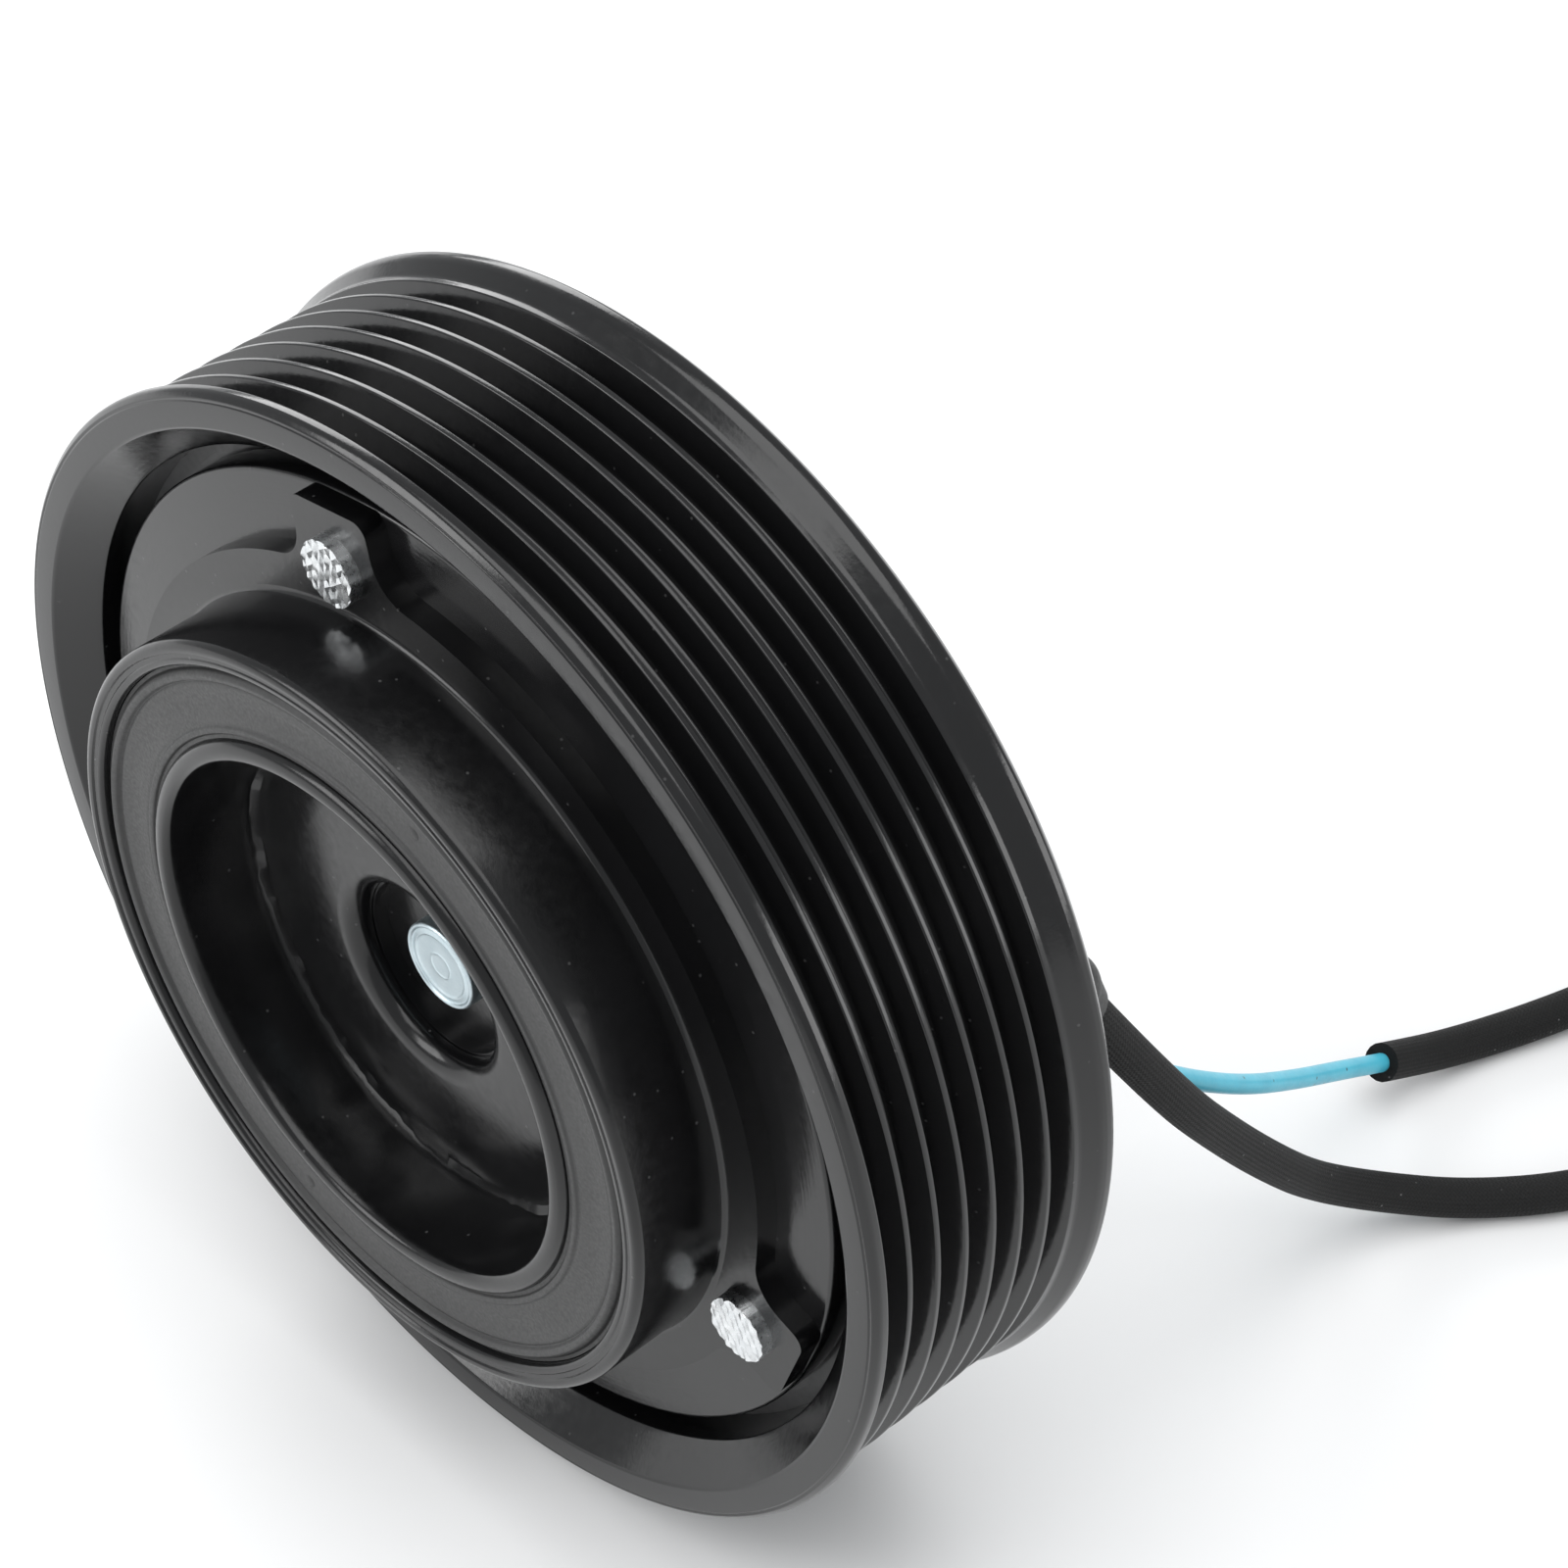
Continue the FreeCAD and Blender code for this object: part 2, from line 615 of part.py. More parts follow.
# ---------------------------------------------------------------- hub
def make_hub():
    node(lathe("cup_body", [
        ("cup_hole", "cup_floor_middle"),
        ("cup_flat", "cup_floor_middle"),
        ("(cup_flat + cup_floor_radius) / 2", "cup_floor_middle * 0.64 + cup_floor_edge * 0.36"),
        ("cup_floor_radius - 1.2", "cup_floor_edge - 0.1"),
        ("cup_floor_radius", "cup_floor_edge - 1.0"),
        ("cup_mouth", "collar_front + cup_lip"),
        ("cup_mouth + cup_lip * round_share", "collar_front + cup_lip * round_share"),
        ("cup_mouth + cup_lip", "collar_front"),
        ("cup_outside - cup_lip", "collar_front"),
        ("cup_outside - cup_lip * round_share", "collar_front + cup_lip * round_share"),
        ("cup_outside", "collar_front + cup_lip"),
        ("cup_outside", "cup_floor_edge + cup_metal - 3"),
        ("cup_floor_radius", "cup_floor_edge + cup_metal"),
        ("cup_flat", "cup_floor_middle + cup_metal"),
        ("cup_hole", "cup_floor_middle + cup_metal"),
    ]), "inner_cup")
    boss = lathe("boss_body", [
        ("bolt_hole", "boss_seat"),
        ("cup_hole - 0.3", "boss_seat"),
        ("cup_hole - 0.3", "cup_floor_middle + cup_metal"),
        ("boss_flange", "cup_floor_middle + cup_metal"),
        ("boss_flange", "boss_flange_back"),
        ("boss_barrel", "boss_flange_back + 1"),
        ("boss_barrel", "boss_back - ring_chamfer"),
        ("boss_barrel - ring_chamfer", "boss_back"),
        ("spline_minor", "boss_back"),
        ("spline_minor", "boss_seat + boss_web"),
        ("bolt_hole", "boss_seat + boss_web"),
    ])
    teeth = []
    count = int(value_of("spline_teeth"))
    for index in range(count):
        gap = doc.addObject("Part::Box", f"spline_gap_{index}")
        turn = FreeCAD.Rotation(AXIS_Y, -index * 360 / count)
        width = value_of("spline_gap")
        gap.Placement = FreeCAD.Placement(
            turn.multVec(FreeCAD.Vector(0, value_of("boss_seat + boss_web"), -width / 2)), turn)
        teeth.append(bind(gap, Length="spline_major", Width="boss_back - boss_seat - boss_web + 1",
                          Height="spline_gap"))
    node(cut("boss_splined", boss, fuse("spline_gaps", teeth)), "hub_boss")
    shim_start = "boss_seat + boss_web"
    shims = [
        ring("shim_thick_ring", "bolt_hole", "shim_outside", shim_start, f"{shim_start} + shim_thick"),
        ring("shim_thin_ring", "bolt_hole", "shim_outside",
             f"{shim_start} + shim_thick + 0.01", f"{shim_start} + shim_thick + 0.01 + shim_thin"),
    ]
    node(group("shims", shims), "air_gap_shims")
    bolt = lathe("bolt_body", [
        ("0.3", "bolt_front + bolt_rim * 0.4"),
        ("bolt_head - 1.1", "bolt_front + bolt_rim"),
        ("bolt_head - 0.75", "bolt_front"),
        ("bolt_head - 0.3", "bolt_front"),
        ("bolt_head", "bolt_front + 0.35"),
        ("bolt_head", "boss_seat"),
        ("bolt_shank", "boss_seat"),
        ("bolt_shank", "bolt_end - 0.6"),
        ("bolt_shank - 0.6", "bolt_end"),
        ("0.3", "bolt_end"),
    ])
    core = disc("bolt_core", "0.3", "bolt_front + bolt_rim * 0.4", "bolt_end")
    node(fuse("bolt_whole", [bolt, core]), "centre_bolt")


def make_damper():
    node(lathe("damper_body", [
        ("rubber_inside", "rubber_front"),
        ("rubber_inside + 0.5", "rubber_front"),
        ("rubber_inside + 0.8", "rubber_front - rubber_bead"),
        ("rubber_inside + 1.4", "rubber_front - rubber_bead"),
        ("rubber_inside + 1.8", "rubber_front"),
        ("(rubber_inside + rubber_outside) / 2", "rubber_front + rubber_dish"),
        ("rubber_outside - 1.7", "rubber_front"),
        ("rubber_outside - 1.3", "rubber_front - rubber_bead"),
        ("rubber_outside - 0.7", "rubber_front - rubber_bead"),
        ("rubber_outside - 0.4", "rubber_front"),
        ("rubber_outside", "rubber_front"),
        ("rubber_outside", "rubber_back"),
        ("(rubber_inside + rubber_outside) / 2", "rubber_back - 2 * rubber_dish"),
        ("rubber_inside", "rubber_back"),
    ]), "rubber_damper")


# ---------------------------------------------------------------- leads
FLOOR_SLEEVE = value_of("floor_level + sleeve_radius")
FLOOR_PLUG = value_of("floor_level + connector_height / 2")
LEADS = {
    # the first point is the boot's mouth, the last is the connector's wire entry
    "a": {
        "boot_root": (46.2, 14.2, 10.4),
        "sleeve_from": 0.0,
        "route": [
            (49.4, 18.6, 4.4),
            (53.4, 27.6, -11.6),
            (52.2, 39.6, -28.2),
            (51.6, 48.9, -40.1),
            (50.3, 58.0, -51.0),
            (53.1, 66.6, -57.3),
            (58.9, 75.3, FLOOR_SLEEVE),
            (66.2, 84.6, FLOOR_SLEEVE),
            (71.0, 95.2, FLOOR_SLEEVE),
            (71.6, 106.6, FLOOR_PLUG),
        ],
    },
    "b": {
        "boot_root": (46.2, 14.2, 3.4),
        "sleeve_from": 83.0,
        "route": [
            (47.2, 18.8, -1.2),
            (48.8, 25.6, -8.9),
            (48.2, 36.0, -19.8),
            (46.8, 48.0, -30.9),
            (44.2, 60.0, -41.2),
            (41.9, 72.0, -50.4),
            (41.2, 81.4, -56.6),
            (43.0, 92.0, FLOOR_SLEEVE),
            (48.0, 105.2, FLOOR_SLEEVE),
            (51.6, 116.0, FLOOR_PLUG),
        ],
    },
}
ARC_SHARE = 0.45


def smooth_path(points):
    """Straight runs joined by tangent arcs, as one wire. Prints the arcs' radii."""
    points = [FreeCAD.Vector(*point) for point in points]
    edges = []
    radii = []
    start = points[0]
    for before, corner, after in zip(points, points[1:], points[2:]):
        back = before - corner
        ahead = after - corner
        turn = math.pi - back.getAngle(ahead)
        shorter = min(back.Length, ahead.Length)
        reach = ARC_SHARE * shorter
        radius = reach / math.tan(turn / 2)
        enter = corner + back.normalize() * reach
        leave = corner + ahead.normalize() * reach
        inward = (back + ahead).normalize()
        middle = corner + inward * (math.hypot(radius, reach) - radius)
        edges.append(Part.LineSegment(start, enter).toShape())
        edges.append(Part.Arc(enter, middle, leave).toShape())
        radii.append(round(radius, 1))
        start = leave
    edges.append(Part.LineSegment(start, points[-1]).toShape())
    print("arc radii", radii)
    return Part.Wire(edges)


def tube_along(path, radius):
    first = path.Edges[0]
    circle = Part.Circle(first.valueAt(first.FirstParameter), first.tangentAt(first.FirstParameter), radius)
    tube = path.makePipeShell([Part.Wire([circle.toShape()])], True, False)
    share = tube.Volume / (math.pi * radius ** 2 * path.Length)
    print(f"tube volume over section times length {share:.4f}, length {path.Length:.1f}")
    assert abs(share - 1) < 0.01
    return tube


def part_of_path(path, from_length, to_length):
    """The stretch of a path between two lengths along it."""
    edges = []
    done = 0.0
    for edge in path.Edges:
        low = max(from_length - done, 0.0)
        high = min(to_length - done, edge.Length)
        if high - low > 0.01:
            first = edge.getParameterByLength(low)
            last = edge.getParameterByLength(high)
            edges.append(edge.Curve.toShape(first, last))
        done += edge.Length
    return Part.Wire(edges)


def feature(label, shape, place=FreeCAD.Placement()):
    piece = doc.addObject("Part::Feature", label + "_shape")
    piece.Shape = shape
    piece.Placement = place
    return node(piece, label)


def upright_frame(point, direction):
    """Placement whose Z runs along a level direction and whose Y points up."""
    along = FreeCAD.Vector(direction.x, direction.y, 0).normalize()
    up = FreeCAD.Vector(0, 0, 1)
    side = up.cross(along)
    matrix = FreeCAD.Matrix(side.x, up.x, along.x, point.x, side.y, up.y, along.y, point.y,
                            side.z, up.z, along.z, point.z, 0, 0, 0, 1)
    return FreeCAD.Placement(matrix)


def block(width, height, front, back):
    """A block centred on the local Z axis."""
    return Part.makeBox(width, height, back - front, FreeCAD.Vector(-width / 2, -height / 2, front))


def make_connector(letter, point, direction):
    """A one-way plug: a round wire entry, a rectangular shroud open at its far end, and a blade."""
    width = value_of("connector_width")
    height = value_of("connector_height")
    wall = value_of("connector_wall")
    back = value_of("connector_back")
    length = value_of("connector_length")
    place = upright_frame(point, direction)
    shroud = block(width, height, 0, length)
    edges = [edge for edge in shroud.Edges if abs(edge.tangentAt(edge.FirstParameter).z) > 0.99]
    shroud = shroud.makeFillet(value_of("connector_rounding"), edges)
    mouth = block(width - 2 * wall, height - 2 * wall, back, length + 1)
    latch = block(value_of("latch_width"), value_of("latch_height"), 0, length - value_of("latch_short"))
    latch.translate(FreeCAD.Vector(0, height / 2 + value_of("latch_rise"), 0))
    housing = shroud.fuse(latch).cut(mouth)
    blade_width = value_of("terminal_width")
    thickness = value_of("terminal_thickness")
    seat = back - value_of("terminal_seat")
    blade = block(blade_width, thickness, seat, length - value_of("terminal_recess"))
    housing = housing.cut(block(blade_width, thickness, seat, back + value_of("fit_gap")))
    feature(f"connector_{letter}_housing", housing, place)
    feature(f"connector_{letter}_terminal", blade, place)


def make_leads():
    boots = []
    for letter, lead in LEADS.items():
        path = smooth_path(lead["route"])
        route = [FreeCAD.Vector(*point) for point in lead["route"]]
        wire_radius = value_of("wire_radius")
        feature(f"lead_{letter}_wire", tube_along(path, wire_radius))
        covered = part_of_path(path, lead["sleeve_from"], path.Length - value_of("sleeve_end_gap"))
        braid = tube_along(covered, value_of("sleeve_radius"))
        feature(f"lead_{letter}_sleeve", braid.cut(tube_along(covered, value_of("sleeve_bore"))))
        make_connector(letter, route[-1], route[-1] - route[-2])
        root = FreeCAD.Vector(*lead["boot_root"])
        ahead = (route[1] - route[0]).normalize()
        mouth = value_of("sleeve_radius + sleeve_ease" if letter == "a" else "wire_radius + wire_ease")
        waist = mouth + value_of("boot_wall")
        tip_length = value_of("boot_tip")
        elbow = route[0] - ahead * tip_length
        rise = elbow - root
        tip = Part.makeCone(waist, mouth, tip_length, elbow, ahead)
        neck = Part.makeCone(waist + value_of("boot_flare"), waist, rise.Length, root, rise)
        ball = Part.makeSphere(waist, elbow)
        boots.append(tip.fuse([neck, ball]))
    return boots


def make_grommet(boots):
    plug = oval("grommet_plug", "coil_back - coil_floor", "coil_back")
    pad = oval("grommet_pad_block", "coil_back", "coil_back + grommet_pad", value_of("grommet_overlap"))
    doc.recompute()
    body = plug.Shape.fuse([pad.Shape] + boots).removeSplitter()
    behind_plate = Part.makeCylinder(value_of("plate_outside") + 0.2, 40, FreeCAD.Vector(), AXIS_Y)
    feature("lead_grommet", body.cut(behind_plate))


# ---------------------------------------------------------------- build, check and write
make_pulley_rim()
make_rotor()
make_bearing()
make_snap_rings()
make_coil()
make_mounting_plate()
make_armature()
make_collar()
make_rivets()
make_hub()
make_damper()
make_grommet(make_leads())
doc.recompute()

faulty = [thing.Name for thing in doc.Objects if "Invalid" in thing.State or "Error" in thing.State]
assert not faulty, f"failed objects: {faulty}"
os.makedirs("parts", exist_ok=True)
for piece in nodes:
    assert not piece.Shape.isNull() and piece.Shape.isValid(), f"{piece.Label} is not a valid shape"
    piece.Shape.exportStep(f"parts/{piece.Label}.step")
    print(f"{piece.Label:26s} {len(piece.Shape.Solids)} solid(s) {piece.Shape.Volume:10.0f} mm3")
print(len(nodes), "nodes")
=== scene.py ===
import json
import math
import random

import bmesh
import bpy
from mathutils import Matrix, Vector, noise


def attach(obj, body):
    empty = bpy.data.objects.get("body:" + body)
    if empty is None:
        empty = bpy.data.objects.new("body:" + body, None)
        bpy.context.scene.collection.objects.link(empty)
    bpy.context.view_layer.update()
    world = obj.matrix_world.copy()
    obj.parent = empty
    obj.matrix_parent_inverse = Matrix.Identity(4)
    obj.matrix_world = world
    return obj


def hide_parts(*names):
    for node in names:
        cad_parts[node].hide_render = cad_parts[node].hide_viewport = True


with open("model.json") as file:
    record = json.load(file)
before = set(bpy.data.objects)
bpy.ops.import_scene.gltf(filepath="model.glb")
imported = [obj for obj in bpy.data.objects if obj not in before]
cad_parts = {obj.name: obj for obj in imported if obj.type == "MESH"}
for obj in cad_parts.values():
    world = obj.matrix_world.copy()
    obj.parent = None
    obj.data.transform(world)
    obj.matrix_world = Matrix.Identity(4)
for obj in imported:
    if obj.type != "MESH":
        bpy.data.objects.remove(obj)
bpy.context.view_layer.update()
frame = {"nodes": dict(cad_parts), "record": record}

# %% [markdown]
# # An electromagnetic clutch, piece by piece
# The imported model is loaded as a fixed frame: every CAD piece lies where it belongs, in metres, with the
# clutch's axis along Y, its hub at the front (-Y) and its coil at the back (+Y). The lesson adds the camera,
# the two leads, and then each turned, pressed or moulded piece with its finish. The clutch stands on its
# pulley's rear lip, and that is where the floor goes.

MM = 0.001
FLOOR = -62.9 * MM

# %% [markdown]
# ## Camera
# The camera stands in front of the hub, to its right and above it, with a lens of just under 100 mm. It has
# no tilt to the side and no shift. Depth of field stays off, so that every piece is sharp.

# %% Camera
bpy.ops.object.select_all(action="DESELECT")
bpy.ops.object.camera_add(
    location=(0.2289, -0.1918, 0.2938),
    rotation=(math.radians(90 - 43.43), 0, math.radians(46.32)),
)
camera = bpy.context.object
camera.data.sensor_width = 36
camera.data.lens = 96.75
camera.data.clip_start = 0.01
bpy.context.scene.camera = camera

# %% [markdown]
# ## A start for every material
# Each finish is a Principled shader with patterns that read Object coordinates, so a pattern stays put on
# its piece. These helpers make the nodes by kind, set their inputs, and return the socket to plug in.


# %% Helpers for materials
def new_material(name):
    """A new material, its node tree, its shader and the point on the piece that is being coloured."""
    material = bpy.data.materials.new(name)
    material.use_nodes = True
    tree = material.node_tree
    shader = tree.nodes["Principled BSDF"]
    point = tree.nodes.new("ShaderNodeTexCoord").outputs["Object"]
    return material, tree, shader, point


def add_node(tree, kind, result, settings=(), **inputs):
    """A node of a kind. Inputs are numbers, colours or sockets to link, named as on the node."""
    made = tree.nodes.new("ShaderNode" + kind)
    for name, value in dict(settings).items():
        setattr(made, name, value)
    for name, value in inputs.items():
        socket = made.inputs[int(name[1:])] if name[1:].isdigit() else made.inputs[name.replace("_", " ")]
        if isinstance(value, bpy.types.NodeSocket):
            tree.links.new(value, socket)
        else:
            socket.default_value = value
    return made.outputs[result]


def cloud(tree, point, size, detail=3.0):
    """Soft noise between 0 and 1. Size is the width of its patches in millimetres."""
    return add_node(tree, "TexNoise", "Fac", Vector=point, Scale=1 / (size * MM), Detail=detail)


def spread(tree, value, low, high, start=0.3, end=0.7):
    """A 0 to 1 pattern stretched to the range from low to high."""
    ends = {"From_Min": start, "From_Max": end, "To_Min": low, "To_Max": high}
    return add_node(tree, "MapRange", "Result", Value=value, **ends)


def blend_colours(tree, share, first, second):
    return add_node(tree, "Mix", 2, settings={"data_type": "RGBA"}, _0=share, _6=first, _7=second)


def bump(tree, shader, height, depth, under=None):
    """Relief of a depth in millimetres, on top of another relief if one is given."""
    extra = {"Normal": under} if under else {}
    relief = add_node(tree, "Bump", "Normal", Height=height, Strength=1.0, Distance=depth * MM, **extra)
    tree.links.new(relief, shader.inputs["Normal"])
    return relief


def grey(level, blue=1.0):
    return (level, level, level * blue, 1)


# %% [markdown]
# ## Black coat
# The pulley, the hub and the armature are dipped in black electro-coat. It is a thin and glossy paint that
# shows the metal's texture softly. Three things keep it from looking like plain black: patches that are a
# little duller, an orange-peel relief finer than half a millimetre, and specks of dust. Fine rings left by
# turning show under the coat on faces that were machined.


# %% Black coat
RINGS_PER_METRE = 2600


def black_coat(name, shade, dull, speck_share=0.5, rings=0.0, shine=0.5):
    material, tree, shader, point = new_material(name)
    shader.inputs["Specular IOR Level"].default_value = shine
    patches = cloud(tree, point, 9)
    fine = cloud(tree, point, 1.1, detail=6)
    deep = blend_colours(tree, patches, grey(shade * 0.75, 1.05), grey(shade * 1.35, 1.08))
    dots = add_node(tree, "TexVoronoi", "Distance", Vector=point, Scale=1 / (2.6 * MM), Randomness=1.0)
    dust = spread(tree, dots, speck_share, 0.0, start=0.035, end=0.075)
    tree.links.new(blend_colours(tree, dust, deep, grey(0.11)), shader.inputs["Base Color"])
    tree.links.new(spread(tree, fine, dull - 0.04, dull + 0.05), shader.inputs["Roughness"])
    peel = bump(tree, shader, cloud(tree, point, 0.45, detail=2), 0.006)
    if rings:
        # the distance from the Y axis drives a one-dimensional noise, so its marks are rings
        times = {"operation": "MULTIPLY"}
        apart = add_node(tree, "VectorMath", "Vector", settings=times, _0=point, _1=(1, 0, 1))
        reach = add_node(tree, "VectorMath", "Value", settings={"operation": "LENGTH"}, _0=apart)
        line = {"noise_dimensions": "1D"}
        marks = add_node(tree, "TexNoise", "Fac", settings=line, W=reach, Scale=RINGS_PER_METRE, Detail=4.0)
        bump(tree, shader, marks, rings, under=peel)
    return material


pulley_coat = black_coat("pulley_coat", 0.005, 0.15, speck_share=0.35, rings=0.003)
hub_coat = black_coat("hub_coat", 0.005, 0.19, shine=0.42)
armature_coat = black_coat("armature_coat", 0.006, 0.15, rings=0.006)
rotor_coat = black_coat("rotor_coat", 0.02, 0.38, rings=0.02)
coil_coat = black_coat("coil_coat", 0.016, 0.34)
spring_steel = black_coat("spring_steel", 0.03, 0.33, speck_share=0.2)

# %% [markdown]
# ## Rubber
# The damper's rubber is a dull dark grey, with a mould's faint texture and a pale bloom in patches. The same
# recipe, darker, makes the grommet, and browner, the bearing's seals.


# %% Rubber
def rubber(name, dark, pale, dull, grain):
    material, tree, shader, point = new_material(name)
    bloom = cloud(tree, point, 7, detail=5)
    pores = cloud(tree, point, grain, detail=4)
    tree.links.new(blend_colours(tree, bloom, dark, pale), shader.inputs["Base Color"])
    tree.links.new(spread(tree, pores, dull - 0.08, dull + 0.1), shader.inputs["Roughness"])
    bump(tree, shader, pores, 0.012)
    return material


damper_rubber = rubber("damper_rubber", grey(0.024), grey(0.042), 0.5, 0.35)
grommet_rubber = rubber("grommet_rubber", grey(0.012), grey(0.024), 0.48, 0.3)
seal_rubber = rubber("seal_rubber", (0.05, 0.02, 0.012, 1), (0.09, 0.035, 0.02, 1), 0.42, 0.3)

# %% [markdown]
# ## Metals
# Zinc plating is a bright metal with a cold tint and small crystals. The bearing's rings are ground and
# smoother, and the winding's enamelled copper is warm and glossy. One recipe makes them all.


# %% Metals
def metal(name, dark, bright, dull, grain, relief):
    material, tree, shader, point = new_material(name)
    shader.inputs["Metallic"].default_value = 1.0
    crystals = cloud(tree, point, grain, detail=5)
    tarnish = cloud(tree, point, grain * 6)
    tree.links.new(blend_colours(tree, tarnish, dark, bright), shader.inputs["Base Color"])
    tree.links.new(spread(tree, crystals, dull - 0.08, dull + 0.12), shader.inputs["Roughness"])
    bump(tree, shader, crystals, relief)
    return material


rivet_zinc = metal("rivet_zinc", (0.62, 0.65, 0.67, 1), (0.88, 0.89, 0.89, 1), 0.28, 0.35, 0.008)
bolt_zinc = metal("bolt_zinc", (0.50, 0.60, 0.64, 1), (0.66, 0.74, 0.77, 1), 0.42, 0.30, 0.010)
zinc_plate = metal("zinc_plate", (0.52, 0.53, 0.55, 1), (0.66, 0.66, 0.67, 1), 0.36, 0.8, 0.010)
shim_steel = metal("shim_steel", (0.45, 0.45, 0.45, 1), (0.60, 0.60, 0.60, 1), 0.30, 0.5, 0.005)
bearing_steel = metal("bearing_steel", (0.62, 0.62, 0.63, 1), (0.74, 0.74, 0.75, 1), 0.14, 0.6, 0.002)
copper_winding = metal("copper_winding", (0.50, 0.18, 0.07, 1), (0.75, 0.33, 0.15, 1), 0.28, 0.4, 0.02)
tinned_terminal = metal("tinned_terminal", (0.62, 0.61, 0.58, 1), (0.78, 0.77, 0.74, 1), 0.22, 0.5, 0.004)

# %% [markdown]
# ## Plastics
# A moulding has a slightly mottled colour and a skin with fine pores. The wire's insulation is smoother and
# glossier than the connector and has specks of dirt, and the coil's cast resin has small pits.


# %% Plastics
def plastic(name, dark, pale, dull, grain, relief, dirt=0.0):
    material, tree, shader, point = new_material(name)
    pores = cloud(tree, point, grain, detail=4)
    mottled = blend_colours(tree, cloud(tree, point, grain * 8), dark, pale)
    dots = add_node(tree, "TexVoronoi", "Distance", Vector=point, Scale=1 / (2.2 * MM), Randomness=1.0)
    specks = spread(tree, dots, dirt, 0.0, start=0.06, end=0.11)
    tree.links.new(blend_colours(tree, specks, mottled, grey(0.02)), shader.inputs["Base Color"])
    tree.links.new(spread(tree, pores, dull - 0.06, dull + 0.08), shader.inputs["Roughness"])
    bump(tree, shader, pores, relief)
    return material


INSULATION_DARK = (0.045, 0.36, 0.50, 1)
INSULATION_PALE = (0.075, 0.50, 0.64, 1)
wire_insulation = plastic("wire_insulation", INSULATION_DARK, INSULATION_PALE, 0.36, 0.5, 0.004, dirt=0.9)
connector_plastic = plastic("connector_plastic", grey(0.022), grey(0.034), 0.42, 0.3, 0.010)
bobbin_plastic = plastic("bobbin_plastic", (0.60, 0.55, 0.42, 1), (0.70, 0.66, 0.54, 1), 0.45, 0.4, 0.006)
cage_plastic = plastic("cage_plastic", (0.62, 0.56, 0.40, 1), (0.72, 0.66, 0.50, 1), 0.45, 0.4, 0.006)
potting_resin = plastic("potting_resin", grey(0.020), grey(0.045), 0.30, 0.7, 0.030)

# %% [markdown]
# ## Woven sleeve
# The leads run in a braided sleeve. A braid is two sets of strands that cross on a slant, over one and
# under the next. The pattern follows the tube, so it reads the curve's own UV map: one direction runs round
# the tube and the other along it. A checker in slanted coordinates says which set is on top.


# %% Woven sleeve
STRANDS = 28


def woven(name, around, along):
    """Around is the number of strands that meet round the tube, along the number of crossings along it."""
    material, tree, shader, point = new_material(name)
    place = tree.nodes.new("ShaderNodeTexCoord").outputs["UV"]
    length = add_node(tree, "SeparateXYZ", "X", Vector=place)
    across = add_node(tree, "SeparateXYZ", "Y", Vector=place)
    turns = add_node(tree, "Math", 0, settings={"operation": "MULTIPLY"}, _0=across, _1=around)
    rows = add_node(tree, "Math", 0, settings={"operation": "MULTIPLY"}, _0=length, _1=along)
    left = add_node(tree, "Math", 0, settings={"operation": "ADD"}, _0=turns, _1=rows)
    right = add_node(tree, "Math", 0, settings={"operation": "SUBTRACT"}, _0=turns, _1=rows)
    strands = []
    for slant in (left, right):
        phase = add_node(tree, "Math", 0, settings={"operation": "MULTIPLY"}, _0=slant, _1=math.pi)
        swing = add_node(tree, "Math", 0, settings={"operation": "SINE"}, _0=phase)
        strands.append(add_node(tree, "Math", 0, settings={"operation": "ABSOLUTE"}, _0=swing))
    slanted = add_node(tree, "CombineXYZ", "Vector", X=left, Y=right, Z=0.5)
    over = add_node(tree, "TexChecker", "Fac", Vector=slanted, Scale=1.0)
    height = add_node(tree, "Mix", 0, settings={"data_type": "FLOAT"}, _0=over, _2=strands[0], _3=strands[1])
    fuzz = cloud(tree, point, 0.25, detail=4)
    # painted shade: where a strand dips under the other set it is coloured darker, as shade in the weave's
    # creases
    painted_crease_shade = blend_colours(tree, height, grey(0.002), grey(0.010))
    # random pale fuzz on the fibres, laid over that painted shade
    fuzz_and_crease_shade = blend_colours(tree, spread(tree, fuzz, 0.0, 0.5, start=0.6, end=0.8), painted_crease_shade, grey(0.05))
    dots = add_node(tree, "TexVoronoi", "Distance", Vector=point, Scale=1 / (2.4 * MM), Randomness=1.0)
    lint = spread(tree, dots, 0.6, 0.0, start=0.03, end=0.06)
    tree.links.new(blend_colours(tree, lint, fuzz_and_crease_shade, grey(0.30)), shader.inputs["Base Color"])
    tree.links.new(spread(tree, fuzz, 0.6, 0.8), shader.inputs["Roughness"])
    shader.inputs["Specular IOR Level"].default_value = 0.25
    bump(tree, shader, height, 0.045)
    return material


# %% [markdown]
# ## The two leads
# Each lead leaves the grommet behind the pulley, comes down beside the coil and lies on the floor, where it
# ends in a one-way connector. Its route is one smooth NURBS curve through the air. Lead A is sleeved from the
# grommet on, while lead B shows its blue insulation first. A sleeve follows points read from its wire's own
# line, spaced evenly, so that the weave is even along it.

# %% The leads' routes and a helper that draws one
FLOOR_SLEEVE = -60.65
FLOOR_PLUG = -59.7
LEAD_A = [
    (49.4, 18.6, 4.4), (53.4, 27.6, -11.6), (52.2, 39.6, -28.2), (51.6, 48.9, -40.1), (50.3, 58.0, -51.0),
    (53.1, 66.6, -57.3), (58.9, 75.3, FLOOR_SLEEVE), (66.2, 84.6, FLOOR_SLEEVE), (71.0, 95.2, FLOOR_SLEEVE),
    (71.6, 106.6, FLOOR_PLUG),
]
LEAD_B = [
    (47.2, 18.8, -1.2), (48.8, 25.6, -8.9), (48.2, 36.0, -19.8), (46.8, 48.0, -30.9), (44.2, 60.0, -41.2),
    (41.9, 72.0, -50.4), (41.2, 81.4, -56.6), (43.0, 92.0, FLOOR_SLEEVE), (48.0, 105.2, FLOOR_SLEEVE),
    (51.6, 116.0, FLOOR_PLUG),
]


